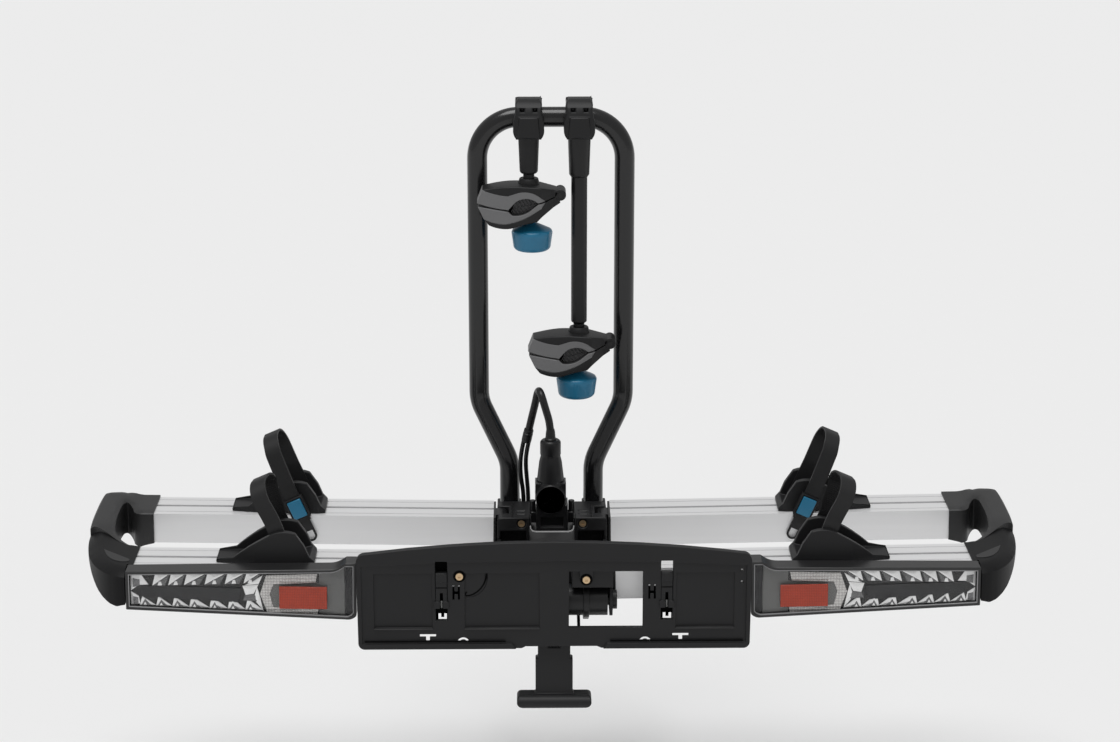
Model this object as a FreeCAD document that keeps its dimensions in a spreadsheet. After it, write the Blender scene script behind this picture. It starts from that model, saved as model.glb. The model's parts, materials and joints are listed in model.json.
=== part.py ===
"""Towbar bike rack: two folding wheel wings, a tilting centre frame, a hoop and two frame arms.

The frame of the part: X to the right, +Y towards the car, Z up, and the origin at the centre of the
towball. All sizes are in millimetres. The right wing and its wheel holders are modelled once and mirrored.
"""
import FreeCAD
import Part

import math
import os
import re

import Sketcher

Vector = FreeCAD.Vector
Rotation = FreeCAD.Rotation
Placement = FreeCAD.Placement

DOCUMENT = FreeCAD.newDocument("BikeRack")
NODES = {}

# Driving dimensions
SIZES = {
    # Running gap between moving pieces, and the radial play of a pin in its bore
    "gap": 0.4,
    "play": 0.06,
    # Wing rails
    "rail_top": 93.5,
    "rail_height": 44,
    "rail_width": 73,
    "rail_wall": 2,
    "rail_reach": 598,
    "rear_rail": -192,
    "front_rail": -404,
    "slot_mouth": 7,
    "slot_width": 17,
    "slot_lip": 2.5,
    "slot_depth": 7,
    "groove_offset": 25,
    "groove_width": 2,
    "groove_depth": 1.5,
    # Wing hinges
    "hinge_x": 72,
    "hinge_z": 83,
    "hinge_pin": 4,
    "hinge_eye": 7,
    "hinge_tongue": 30,
    "lug_start": 82,
    "lug_plate": 3,
    "wing_rise": 0.9,
    # Centre frame
    "base_bottom": 40.5,
    "base_plate": 5.5,
    "base_half": 80,
    "block_inner": 33,
    "block_outer": 80,
    "block_top": 92.5,
    "socket_rear": -122,
    "socket_top": 86,
    "socket_floor": 50,
    # Tilt axle and the pedal
    "axle_y": -466,
    "axle_z": 59,
    "axle_radius": 21.5,
    "axle_half": 73,
    "axle_wall": 3,
    "pivot_bolt": 8,
    "cheek_inner": 75.5,
    "cheek_outer": 80,
    "catch_radius": 24.4,
    "pedal_y": -478,
    "pedal_z": 14,
    "pedal_pin": 4,
    "pedal_half": 25.5,
    "pedal_bar_half": 51,
    "pedal_bottom": -90,
    # Chassis beam and coupler
    "beam_half": 28,
    "beam_bottom": 14,
    "beam_top": 40,
    "beam_wall": 3,
    "beam_rear": -385,
    "fork_inner": 40,
    "fork_outer": 48,
    "ball_radius": 25,
    "cup_wall": 9,
    "lever_y": -30,
    "lever_z": 52,
    "lever_reach": -117,
    "jaw_pin_y": -46,
    "jaw_pin_z": 12,
    # Hoop
    "hoop_radius": 14.5,
    "hoop_wall": 2,
    "hoop_half": 106,
    "hoop_y": -112,
    "hoop_top": 659,
    "hoop_bend": 60,
    "foot_half": 61.5,
    "foot_y": -140,
    "jog_low": 150,
    "jog_high": 236,
    "jog_bend": 50,
    # Frame arms and their jaws
    "short_arm": -32,
    "long_arm": 40,
    "arm_y": -146,
    "clamp_half": 20,
    "long_tube": 11.5,
    "short_jaw_z": 543.5,
    "long_jaw_z": 323.5,
    "jaw_half": 17,
    "jaw_front": 30,
    "jaw_pivot_x": 45,
    "jaw_pivot_z": 12,
    "jaw_pivot_pin": 3,
    "short_knob_x": 4.4,
    "long_knob_x": -3.3,
    "knob_radius": 29.5,
    "knob_height": 41,
    # Number-plate holder
    "plate_half": 266,
    "plate_front": -502,
    "plate_back": -492,
    "plate_low": 1,
    "plate_edge": 137,
    "plate_crown": 155,
    "plate_rim": 5.5,
    "window_left": 20,
    "window_right": 120,
    "window_low": 31,
    "window_high": 112,
    "screw_x": 43.5,
    "screw_z": 100.5,
    "clip_place": 152.5,
    "clip_half": 8,
    "clip_low": 42,
    "clip_high": 128,
    # Lamps
    "lamp_inner": 269,
    "lamp_front": -470,
    "lamp_wall": 4,
    # End caps
    "cap_overlap": 22,
    "cap_length": 54,
    # Wheel holders
    "tray_half": 30,
    "holder_x": 362,
    "strap_lean": 24.5,
    "strap_skew": 10,
    "strap_width": 22,
    "strap_thick": 3,
    "button_travel": 2.5,
    # Plug and cords
    "plug_x": -2,
    "plug_y": -205,
    "plug_z": 119,
    "plug_radius": 21.5,
    "plug_top": 204,
    "main_cord": 5.5,
    "thin_cord": 3.2,
}

SHEET = DOCUMENT.addObject("Spreadsheet::Sheet", "Sizes")
for row, (alias, size) in enumerate(SIZES.items(), 1):
    SHEET.set(f"A{row}", alias)
    SHEET.set(f"B{row}", str(size))
    SHEET.setAlias(f"B{row}", alias)
DOCUMENT.recompute()


# Expressions and placements


def words(text):
    """An expression in which every size is read from the sheet."""
    return re.sub(r"[a-z_]+", lambda m: "Sizes." + m.group() if m.group() in SIZES else m.group(), str(text))


def number(text):
    """The present value of an expression."""
    return float(SHEET.evalExpression(words(text)))


def bind(item, **sizes):
    for name, text in sizes.items():
        item.setExpression(name.replace("__", "."), words(text))
    return item


def rise(item):
    """The piece turned up with its wing, about the hinge pin."""
    pin = Vector(number("hinge_x"), 0, number("hinge_z"))
    turn = Rotation(Vector(0, 1, 0), -number("wing_rise"))
    item.Placement = Placement(pin - turn.multVec(pin), turn)
    return item


def part(node, item):
    """The finished piece, under the name of its node."""
    item.Label = node
    NODES[node] = item
    return item


# Primitives and booleans


def block(name, x, y, z):
    """A box from its three (low, high) spans."""
    item = DOCUMENT.addObject("Part::Box", name)
    for side, axis, (low, high) in (("Length", "x", x), ("Width", "y", y), ("Height", "z", z)):
        item.setExpression(side, words(f"({high}) - ({low})"))
        item.setExpression("Placement.Base." + axis, words(low))
    return item


def around(axis):
    """The rotation that takes Z to an axis."""
    return {"x": Rotation(Vector(0, 1, 0), 90), "y": Rotation(Vector(1, 0, 0), -90), "z": Rotation()}[axis]


def seat(item, axis, start, across):
    """Puts a round primitive on an axis, from its start, with its two other coordinates in X, Y, Z order."""
    item.Placement = Placement(Vector(), around(axis))
    place = list(across)
    place.insert("xyz".index(axis), start)
    for name, text in zip("xyz", place):
        item.setExpression("Placement.Base." + name, words(text))
    return item


def rod(name, radius, axis, span, across):
    item = DOCUMENT.addObject("Part::Cylinder", name)
    low, high = span
    bind(item, Radius=radius, Height=f"({high}) - ({low})")
    return seat(item, axis, low, across)


def cone(name, radii, axis, span, across):
    item = DOCUMENT.addObject("Part::Cone", name)
    low, high = span
    bind(item, Radius1=radii[0], Radius2=radii[1], Height=f"({high}) - ({low})")
    return seat(item, axis, low, across)


def ball(name, radius, x=0, y=0, z=0):
    item = DOCUMENT.addObject("Part::Sphere", name)
    return bind(item, Radius=radius, Placement__Base__x=x, Placement__Base__y=y, Placement__Base__z=z)


def join(name, *items):
    item = DOCUMENT.addObject("Part::MultiFuse", name)
    item.Shapes = list(items)
    item.Refine = True
    return item


def cut(name, base, *tools):
    item = DOCUMENT.addObject("Part::Cut", name)
    item.Base = base
    item.Tool = tools[0] if len(tools) == 1 else join(name + "_tools", *tools)
    item.Refine = True
    return item


def common(name, first, second):
    item = DOCUMENT.addObject("Part::Common", name)
    item.Base = first
    item.Tool = second
    return item


def group(name, *items):
    """Separate solids that share one node."""
    item = DOCUMENT.addObject("Part::Compound", name)
    item.Links = list(items)
    return item


def mirror(name, item, normal, at="0"):
    """The mirror image in a plane square to a vector, at a distance from the origin along it."""
    copy = DOCUMENT.addObject("Part::Mirroring", name)
    copy.Source = item
    copy.Normal = normal
    copy.Base = normal * number(at)
    return copy


def soften(name, base, radius, choose):
    """Rounds the edges that a test picks out."""
    DOCUMENT.recompute()
    item = DOCUMENT.addObject("Part::Fillet", name)
    item.Base = base
    size = number(radius)
    item.Edges = [(n, size, size) for n, edge in enumerate(base.Shape.Edges, 1) if choose(edge)]
    return item


def along(edge, axis):
    """Whether an edge is a straight one along an axis."""
    ends = [v.Point for v in edge.Vertexes]
    if len(ends) != 2 or not isinstance(edge.Curve, Part.Line):
        return False
    run = (ends[1] - ends[0]).normalize()
    return abs(run.dot(axis)) > 0.999


# Sketched bodies


def draw(sketch, outline):
    """A closed outline: (a, b) is a corner, and (a, b, "arc") the middle of an arc between two corners."""
    start = sketch.GeometryCount
    corners = [entry for entry in outline if len(entry) == 2]
    places = [Vector(number(a), number(b), 0) for a, b in corners]
    middles = {}
    for entry in outline:
        if len(entry) == 2:
            last = entry
        else:
            middles[corners.index(last)] = Vector(number(entry[0]), number(entry[1]), 0)
    shapes = []
    for n, place in enumerate(places):
        after = places[(n + 1) % len(places)]
        line = n not in middles
        shapes.append(Part.LineSegment(place, after) if line else Part.Arc(place, middles[n], after))
    sketch.addGeometry(shapes)
    ends = []
    for n, place in enumerate(places):
        ends.append(1 if (sketch.getPoint(start + n, 1) - place).Length < 1e-4 else 2)
    rules = []
    for n, place in enumerate(places):
        after = (n + 1) % len(places)
        rules.append(Sketcher.Constraint("Coincident", start + n, 3 - ends[n], start + after, ends[after]))
        rules.append(Sketcher.Constraint("DistanceX", -1, 1, start + n, ends[n], place.x))
        rules.append(Sketcher.Constraint("DistanceY", -1, 1, start + n, ends[n], place.y))
    first = sketch.addConstraint(rules)[0]
    for n, corner in enumerate(corners):
        for step, text in enumerate(corner, 1):
            rule = first + 3 * n + step
            name = f"{'ab'[step - 1]}{start + n}"
            sketch.renameConstraint(rule, name)
            sketch.setExpression("Constraints." + name, words(text))


def sketch_on(body, plane, lift):
    """A sketch on one of the body's own origin planes, lifted along that plane's normal."""
    sketch = body.newObject("Sketcher::SketchObject", body.Name + "_sketch")
    found = [f for f in body.Origin.OriginFeatures if f.Role == plane + "_Plane"]
    sketch.AttachmentSupport = [(found[0], "")]
    sketch.MapMode = "FlatFace"
    sketch.setExpression("AttachmentOffset.Base.z", words(lift))
    return sketch


def pad(name, plane, outline, span, holes=()):
    """A flat outline given its thickness, from the low to the high end of a span."""
    body = DOCUMENT.addObject("PartDesign::Body", name)
    low, high = span
    sketch = sketch_on(body, plane, f"-({high})" if plane == "XZ" else low)
    draw(sketch, outline)
    for hole in holes:
        draw(sketch, hole)
    feature = body.newObject("PartDesign::Pad", name + "_pad")
    feature.Profile = sketch
    feature.setExpression("Length", words(f"({high}) - ({low})"))
    body.Tip = feature
    return body


def turned(name, outline, x, y, z):
    """An outline of (radius, height) turned about an upright axis at a place."""
    body = DOCUMENT.addObject("PartDesign::Body", name)
    sketch = sketch_on(body, "XZ", "0")
    draw(sketch, outline)
    feature = body.newObject("PartDesign::Revolution", name + "_turn")
    feature.Profile = sketch
    feature.ReferenceAxis = (sketch, ["V_Axis"])
    feature.Angle = 360
    body.Tip = feature
    return bind(body, Placement__Base__x=x, Placement__Base__y=y, Placement__Base__z=z)


def rectangle(left, right, low, high):
    return [(left, low), (right, low), (right, high), (left, high)]


# Tubes along a route


def bend_route(points, radii):
    """A wire of straight runs joined by tangent arcs, with one radius for each inner point."""
    edges = []
    start = points[0]
    for n in range(1, len(points) - 1):
        before = (points[n - 1] - points[n]).normalize()
        after = (points[n + 1] - points[n]).normalize()
        turn = math.pi - before.getAngle(after)
        reach = radii[n - 1] * math.tan(turn / 2)
        enter = points[n] + before * reach
        leave = points[n] + after * reach
        inward = (before + after).normalize()
        middle = points[n] + inward * (radii[n - 1] / math.cos(turn / 2) - radii[n - 1])
        edges.append(Part.LineSegment(start, enter).toShape())
        edges.append(Part.Arc(enter, middle, leave).toShape())
        start = leave
    edges.append(Part.LineSegment(start, points[-1]).toShape())
    return Part.Wire(edges)


def cord_radii(points):
    """The largest arcs that a cord's runs allow."""
    radii = []
    for n in range(1, len(points) - 1):
        before = points[n] - points[n - 1]
        after = points[n + 1] - points[n]
        radii.append(0.45 * min(before.Length, after.Length) / math.tan(before.getAngle(after) / 2))
    return radii


def pipe(wire, radius):
    """A round solid along a wire."""
    first = wire.Edges[0]
    heading = first.tangentAt(first.FirstParameter)
    start = first.valueAt(first.FirstParameter)
    ring = Part.Wire([Part.makeCircle(radius, start, heading)])
    return wire.makePipeShell([ring], True, False)


def feature(name, shape):
    item = DOCUMENT.addObject("Part::Feature", name)
    item.Shape = shape
    return item


def cord(node, points, radius):
    radii = cord_radii(points)
    wire = bend_route(points, radii)
    shape = pipe(wire, radius)
    share = shape.Volume / (math.pi * radius**2 * wire.Length)
    print(node, "radii", [round(r, 1) for r in radii], "length", round(wire.Length), "share", round(share, 4))
    return part(node, feature(node, shape))


# Chassis: beam, tilt axle and coupler


def chassis():
    beam = cut(
        "beam_box",
        block("beam_outer", ("-beam_half", "beam_half"), ("beam_rear", "-58"), ("beam_bottom", "beam_top")),
        block(
            "beam_bore",
            ("-beam_half + beam_wall", "beam_half - beam_wall"),
            ("beam_rear + 15", "-57"),
            ("beam_bottom + beam_wall", "beam_top - beam_wall"),
        ),
    )
    cross = block("fork_cross", ("-fork_outer", "fork_outer"), ("beam_rear", "beam_rear + 15"), ("beam_bottom", "beam_top"))
    outline = [
        ("beam_rear + 15", "beam_bottom"),
        ("beam_rear + 15", "beam_top"),
        ("axle_y + 20", "beam_top"),
        ("axle_y + catch_radius * cos(40)", "axle_z - catch_radius * sin(40)"),
        ("axle_y", "axle_z"),
        ("axle_y - catch_radius * sin(20)", "axle_z - catch_radius * cos(20)"),
        ("axle_y + 18", "beam_bottom + 9"),
        ("beam_rear - 10", "beam_bottom"),
    ]
    bore = rod("axle_seat", "axle_radius", "x", ("-fork_outer - 1", "fork_outer + 1"), ("axle_y", "axle_z"))
    arms = []
    for side, low, high in (("right", "fork_inner", "fork_outer"), ("left", "-fork_outer", "-fork_inner")):
        arms.append(pad(side + "_fork_arm", "YZ", outline, (low, high)))
        arms.append(rod(side + "_fork_ring", "catch_radius", "x", (low, high), ("axle_y", "axle_z")))
    part("chassis_beam", cut("chassis_beam", join("beam_and_fork", beam, cross, *arms), bore))

    tube = join(
        "axle_outside",
        rod("axle_tube", "axle_radius", "x", ("-axle_half", "axle_half"), ("axle_y", "axle_z")),
        rod("catch_disc", "catch_radius", "x", ("-6", "6"), ("axle_y", "axle_z")),
    )
    notch = pad(
        "catch_notch",
        "YZ",
        [
            ("axle_y - 9.5", "axle_z - 28"),
            ("axle_y - 2", "axle_z - 28"),
            ("axle_y - 2.8", "axle_z - 22.3"),
            ("axle_y - 8", "axle_z - 20.8"),
        ],
        ("-7", "7"),
    )
    inside = rod("axle_bore", "axle_radius - axle_wall", "x", ("-axle_half + 12", "axle_half - 12"), ("axle_y", "axle_z"))
    ends = rod("axle_holes", "pivot_bolt", "x", ("-axle_half - 1", "axle_half + 1"), ("axle_y", "axle_z"))
    part("tilt_axle", cut("tilt_axle", tube, notch, inside, ends))


def coupler():
    wall = "(ball_radius + cup_wall)"
    inner = "(ball_radius + play)"
    shell = turned(
        "cup_dome",
        [
            ("0", "-9"),
            (wall, "-9"),
            (wall, "0"),
            (f"{wall} * cos(45)", f"{wall} * sin(45)", "arc"),
            ("0", wall),
        ],
        "0",
        "0",
        "0",
    )
    space = turned(
        "ball_space",
        [
            ("0", "-30"),
            (inner, "-30"),
            (inner, "0"),
            (f"{inner} * cos(45)", f"{inner} * sin(45)", "arc"),
            ("0", inner),
        ],
        "0",
        "0",
        "0",
    )
    neck = pad(
        "coupler_neck",
        "YZ",
        [("-58", "5"), ("-20", "5"), ("-14", "30"), ("-20", "41"), ("-48", "43"), ("-58", "41")],
        ("-24", "24"),
    )
    ears = pad(
        "lever_ears",
        "YZ",
        [
            ("lever_y - 16", "40"),
            ("lever_y + 12", "36"),
            ("lever_y + 9", "lever_z"),
            ("lever_y", "lever_z + 9", "arc"),
            ("lever_y - 9", "lever_z"),
        ],
        ("-18", "18"),
    )
    whole = join("coupler_solid", shell, neck, ears)
    head = cut(
        "coupler_head",
        whole,
        space,
        block("jaw_slot", ("-16.4", "16.4"), ("-57", "-16"), ("-30", "25")),
        block("lever_slot", ("-12.4", "12.4"), ("lever_y - 22", "lever_y + 16"), ("39", "lever_z + 12")),
        rod("jaw_pin_hole", "pedal_pin", "x", ("-25", "25"), ("jaw_pin_y", "jaw_pin_z")),
        rod("lever_pin_hole", "pedal_pin", "x", ("-19", "19"), ("lever_y", "lever_z")),
    )
    part("coupler_head", head)

    jaw = pad(
        "clamp_jaw_solid",
        "YZ",
        [
            ("jaw_pin_y - 8", "jaw_pin_z"),
            ("jaw_pin_y", "jaw_pin_z + 8", "arc"),
            ("jaw_pin_y + 8", "jaw_pin_z"),
            ("-14", "-4"),
            ("-14", "-19"),
            ("-40", "-19"),
            ("-52", "-8"),
        ],
        ("-16", "16"),
    )
    jaw = cut(
        "clamp_jaw",
        jaw,
        ball("jaw_face", "ball_radius + gap"),
        rod("jaw_bore", "pedal_pin + play", "x", ("-17", "17"), ("jaw_pin_y", "jaw_pin_z")),
    )
    part("clamp_jaw", jaw)

    lever = pad(
        "lever_side",
        "YZ",
        [
            ("lever_y + 8", "lever_z"),
            ("lever_y", "lever_z + 8", "arc"),
            ("lever_y - 8", "lever_z + 6"),
            ("lever_reach + 30", "lever_z + 5"),
            ("lever_reach + 8", "lever_z + 9"),
            ("lever_reach", "lever_z + 4", "arc"),
            ("lever_reach + 4", "lever_z - 2"),
            ("lever_y - 16", "lever_z - 6.5"),
            ("lever_y", "lever_z - 8", "arc"),
        ],
        ("-12", "12"),
    )
    lever = cut(
        "clamp_lever",
        lever,
        rod("lever_bore", "pedal_pin + play", "x", ("-13", "13"), ("lever_y", "lever_z")),
        block("lever_groove", ("-8", "8"), ("lever_reach + 16", "lever_y - 18"), ("lever_z - 1", "lever_z + 12")),
    )
    part("clamp_lever", lever)

    pins = [
        rod("jaw_pin", "pedal_pin", "x", ("-24", "24"), ("jaw_pin_y", "jaw_pin_z")),
        rod("lever_pin", "pedal_pin", "x", ("-18", "18"), ("lever_y", "lever_z")),
    ]
    bolts = (("right", "60", "cheek_outer + gap", "cheek_outer + 6"), ("left", "-60", "-cheek_outer - gap", "-cheek_outer - 6"))
    for side, inner, seat_x, outer in bolts:
        low, high = (inner, seat_x) if side == "right" else (seat_x, inner)
        shank = rod(side + "_pivot_shank", "pivot_bolt", "x", (low, high), ("axle_y", "axle_z"))
        low, high = (seat_x, outer) if side == "right" else (outer, seat_x)
        head = rod(side + "_pivot_head", "pivot_bolt + 5", "x", (low, high), ("axle_y", "axle_z"))
        pins.append(join(side + "_pivot_bolt", shank, head))
    part("base_pins", group("base_pins", *pins))


# Foot pedal and its latch


def pedal():
    stem = pad(
        "pedal_stem",
        "XZ",
        [
            ("-pedal_half + 3.3", "pedal_z - 3"),
            ("pedal_half - 3.3", "pedal_z - 3"),
            ("pedal_half - 3.3", "-19"),
            ("pedal_half", "-19"),
            ("pedal_half", "-71"),
            ("pedal_bar_half - 6", "-71"),
            ("pedal_bar_half - 1.5", "-73", "arc"),
            ("pedal_bar_half", "-78"),
            ("pedal_bar_half - 2", "pedal_bottom + 4", "arc"),
            ("pedal_bar_half - 10", "pedal_bottom"),
            ("-pedal_bar_half + 10", "pedal_bottom"),
            ("-pedal_bar_half + 2", "pedal_bottom + 4", "arc"),
            ("-pedal_bar_half", "-78"),
            ("-pedal_bar_half + 1.5", "-73", "arc"),
            ("-pedal_bar_half + 6", "-71"),
            ("-pedal_half", "-71"),
            ("-pedal_half", "-19"),
            ("-pedal_half + 3.3", "-19"),
        ],
        ("pedal_y - 22", "pedal_y + 8"),
    )
    side = pad(
        "pedal_side",
        "YZ",
        [
            ("pedal_y - 6", "pedal_z - 3"),
            ("pedal_y + 6", "pedal_z - 3"),
            ("pedal_y + 6", "-80"),
            ("pedal_y + 2", "pedal_bottom"),
            ("pedal_y - 14", "pedal_bottom"),
            ("pedal_y - 20", "pedal_bottom + 4", "arc"),
            ("pedal_y - 21", "pedal_bottom + 11"),
            ("pedal_y - 16", "pedal_bottom + 17", "arc"),
            ("pedal_y - 9", "-71"),
            ("pedal_y - 9", "-29"),
        ],
        ("-pedal_bar_half - 1", "pedal_bar_half + 1"),
    )
    hub = rod("pedal_hub", "8", "x", ("-31.5", "31.5"), ("pedal_y", "pedal_z"))
    body = join("pedal_solid", common("pedal_leaf", stem, side), hub)
    body = cut(
        "tilt_pedal",
        body,
        rod("pedal_bore", "pedal_pin + play", "x", ("-33", "33"), ("pedal_y", "pedal_z")),
        block("latch_slot", ("-8", "8"), ("pedal_y - 10", "pedal_y + 10"), ("-4", "pedal_z + 10")),
    )
    part("tilt_pedal", body)

    nose = pad(
        "latch_nose",
        "YZ",
        [
            ("pedal_y - 7", "pedal_z - 3"),
            ("pedal_y", "pedal_z - 17"),
            ("pedal_y + 7", "pedal_z - 3"),
            ("pedal_y + 7", "pedal_z + 9"),
            ("axle_y - 3", "axle_z - 27"),
            ("axle_y - 9", "axle_z - 25.6"),
        ],
        ("-6", "6"),
    )
    latch = cut(
        "latch_hook",
        nose,
        rod("latch_bore", "pedal_pin + play", "x", ("-7", "7"), ("pedal_y", "pedal_z")),
        rod("latch_run", "catch_radius + gap", "x", ("-7", "7"), ("axle_y", "axle_z")),
    )
    part("latch_hook", latch)


# Centre frame that tilts on the axle


def hinge_pocket(name, rail):
    """The space in which a wing's tongue turns, on the right side."""
    half = "(hinge_tongue / 2 + gap)"
    return block(
        name,
        ("hinge_x - 10", "block_outer + 1"),
        (f"{rail} - {half}", f"{rail} + {half}"),
        ("hinge_z - 24", "block_top + 1"),
    )


def hinge_corner(name, rail):
    """What is taken off the upper outer edge, so that the wing's flange clears it as it folds."""
    rim = "(block_top - hinge_z)"
    outline = [
        ("hinge_x", "block_top"),
        (f"hinge_x + {rim} * sin(45)", f"hinge_z + {rim} * sin(45)", "arc"),
        (f"hinge_x + {rim}", "hinge_z"),
        (f"hinge_x + {rim} + 1", "hinge_z"),
        (f"hinge_x + {rim} + 1", "block_top + 1"),
        ("hinge_x", "block_top + 1"),
    ]
    return pad(name, "XZ", outline, (f"{rail} - rail_width / 2 - 1", f"{rail} + rail_width / 2 + 1"))


def centre_frame():
    rear = "rear_rail - rail_width / 2"
    front = "front_rail - rail_width / 2"
    deck = "base_bottom + base_plate"
    plate = block("base_sheet", ("-base_half", "base_half"), (front, "socket_rear"), ("base_bottom", deck))
    house = block(
        "front_house",
        ("-base_half", "base_half"),
        (front, "front_rail + rail_width / 2"),
        ("base_bottom", "block_top"),
    )
    flanges = [
        block("right_flange", ("base_half - 6", "base_half"), (front, rear), (deck, "60")),
        block("left_flange", ("-base_half", "6 - base_half"), (front, rear), (deck, "60")),
    ]
    cheek = [
        (front, deck),
        (front, "block_top - 2"),
        ("axle_y + 10", "axle_z + 25"),
        ("axle_y - 10", "axle_z + 20"),
        ("axle_y - 21", "axle_z"),
        ("axle_y - 10", "axle_z - 20"),
        ("axle_y + 12", "base_bottom"),
        (front, "base_bottom"),
    ]
    ear = [
        ("front_rail + 8", "base_bottom"),
        (front, "base_bottom"),
        ("axle_y + 22", "pedal_z + 18"),
        ("pedal_y + 3", "pedal_z + 9"),
        ("pedal_y - 8", "pedal_z + 4"),
        ("pedal_y - 8.5", "pedal_z", "arc"),
        ("pedal_y - 2", "pedal_z - 8"),
        (front, "pedal_z + 4"),
        ("front_rail + 8", "pedal_z + 20"),
    ]
    arm = [
        (front, "86"),
        (front, "block_top - 1"),
        ("plate_back + 3", "block_top - 1"),
        ("plate_back + 3", "124"),
        ("plate_back", "124"),
        ("plate_back", "86"),
    ]
    sides = []
    for side, sign in (("right", 1), ("left", -1)):
        def span(low, high):
            return (low, high) if sign == 1 else (f"-({high})", f"-({low})")

        sides.append(pad(side + "_cheek", "YZ", cheek, span("cheek_inner", "cheek_outer")))
        sides.append(pad(side + "_pedal_ear", "YZ", ear, span("32", "36")))
        sides.append(pad(side + "_plate_arm", "YZ", arm, span("24", "cheek_outer")))
    whole = join("frame_solid", plate, house, *flanges, *sides)
    pocket = hinge_pocket("front_pocket_right", "front_rail")
    corner = hinge_corner("front_corner_right", "front_rail")
    tools = [
        pocket,
        mirror("front_pocket_left", pocket, Vector(1, 0, 0)),
        corner,
        mirror("front_corner_left", corner, Vector(1, 0, 0)),
        block("house_hollow", ("-54", "54"), ("front_rail - 30", "front_rail + 30"), (deck, "block_top + 1")),
        block("frame_window", ("-26", "26"), ("front_rail + 60", "rear_rail - 55"), ("base_bottom - 1", "61")),
        rod("cheek_bore", "pivot_bolt + play", "x", ("-base_half - 1", "base_half + 1"), ("axle_y", "axle_z")),
        rod("ear_bore", "pedal_pin", "x", ("-37", "37"), ("pedal_y", "pedal_z")),
    ]
    for side, x in (("right", "hinge_x"), ("left", "-hinge_x")):
        tools.append(rod(side + "_front_pin_bore", "hinge_pin", "y", ("front_rail - 33", "front_rail + 33"), (x, "hinge_z")))
    part("centre_frame", cut("centre_frame", whole, *tools))


def hinge_block():
    """The rear hinge block of the right side, with the socket for the hoop's foot."""
    front = "rear_rail - rail_width / 2"
    rear = "rear_rail + rail_width / 2"
    deck = "base_bottom + base_plate"
    body = block("block_body", ("block_inner", "block_outer"), (front, rear), (deck, "block_top"))
    socket = block("foot_boss", ("foot_half - 16.5", "block_outer"), (rear, "socket_rear"), (deck, "socket_top"))
    solid = soften(
        "block_soft",
        join("block_solid", body, socket),
        "2.5",
        lambda e: along(e, Vector(0, 0, 1)) and e.CenterOfMass.y > number(rear) + 5,
    )
    tools = [
        hinge_pocket("rear_pocket", "rear_rail"),
        hinge_corner("rear_corner", "rear_rail"),
        rod("foot_bore", "hoop_radius", "z", ("socket_floor", "block_top + 1"), ("foot_half", "foot_y")),
        block("front_cavity", ("block_inner + 5", "block_outer - 5"), (f"{front} - 1", f"{front} + 19"), (deck, "72")),
        rod("rear_pin_bore", "hinge_pin", "y", ("rear_rail - 33", "rear_rail + 33"), ("hinge_x", "hinge_z")),
        rod("screw_seat", "6.5", "y", (f"{front} - 1", f"{front} + 3"), ("44.5", "hinge_z")),
        rod("screw_hole", "3", "y", (f"{front} - 1", f"{front} + 14"), ("44.5", "hinge_z")),
        block("upper_slot", ("39", "52"), ("rear_rail - 8", "rear_rail - 3"), ("block_top - 2", "block_top + 1")),
        block("lower_slot", ("39", "52"), ("rear_rail - 22", "rear_rail - 17"), ("block_top - 2", "block_top + 1")),
    ]
    for n in range(5):
        low = f"rear_rail - 33 + {n} * 14"
        tools.append(block(f"texture_groove_{n}", ("56", "58"), (low, f"{low} + 9"), ("block_top - 1", "block_top + 1")))
    return cut("right_hinge_block", solid, *tools)


def hinge_blocks():
    right = hinge_block()
    part("right_hinge_block", right)
    boss = block("cord_boss", ("-44.4", "-block_inner + 2"), ("rear_rail + rail_width / 2", "-142"), ("66", "80"))
    part("left_hinge_block", join("left_hinge_block", mirror("left_block", right, Vector(1, 0, 0)), boss))
    pins = []
    for side, x in (("right", "hinge_x"), ("left", "-hinge_x")):
        for row in ("rear_rail", "front_rail"):
            pins.append(rod(f"{side}_{row}_pin", "hinge_pin", "y", (f"{row} - 33", f"{row} + 33"), (x, "hinge_z")))
    pins.append(rod("pedal_shaft", "pedal_pin", "x", ("-36", "36"), ("pedal_y", "pedal_z")))
    part("fold_pins", group("fold_pins", *pins))


def centre_tray():
    """The bent sheet between the hinge blocks."""
    outer = "block_inner"
    inner = "block_inner - 2"
    outline = [
        (f"-({outer})", "block_top - 1"),
        (f"-({outer})", "79"),
        (f"-({outer}) + 2.7", "72.7", "arc"),
        (f"-({outer}) + 9", "70"),
        (f"{outer} - 9", "70"),
        (f"{outer} - 2.7", "72.7", "arc"),
        (outer, "79"),
        (outer, "block_top - 1"),
        (inner, "block_top - 1"),
        (inner, "79"),
        (f"{inner} - 2", "74", "arc"),
        (f"{inner} - 7", "72"),
        (f"-({inner}) + 7", "72"),
        (f"-({inner}) + 2", "74", "arc"),
        (f"-({inner})", "79"),
        (f"-({inner})", "block_top - 1"),
    ]
    tray = pad("tray_sheet", "XZ", outline, ("rear_rail - rail_width / 2 + 1", "rear_rail + 20"))
    part("centre_tray", tray)


# Hoop


def hoop():
    """The bent tube that stands in the two sockets."""
    foot = number("foot_half")
    side = number("hoop_half")
    foot_y = number("foot_y")
    y = number("hoop_y")
    top = number("hoop_top")
    right = [
        Vector(foot, foot_y, number("socket_floor")),
        Vector(foot, foot_y, number("jog_low")),
        Vector(side, y, number("jog_high")),
        Vector(side, y, top),
    ]
    points = right + [Vector(-p.x, p.y, p.z) for p in reversed(right)]
    jog = number("jog_bend")
    bend = number("hoop_bend")
    wire = bend_route(points, [jog, jog, bend, bend, jog, jog])
    radius = number("hoop_radius")
    tube = pipe(wire, radius).cut(pipe(wire, radius - number("hoop_wall")))
    part("frame_hoop", feature("frame_hoop", tube))


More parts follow.
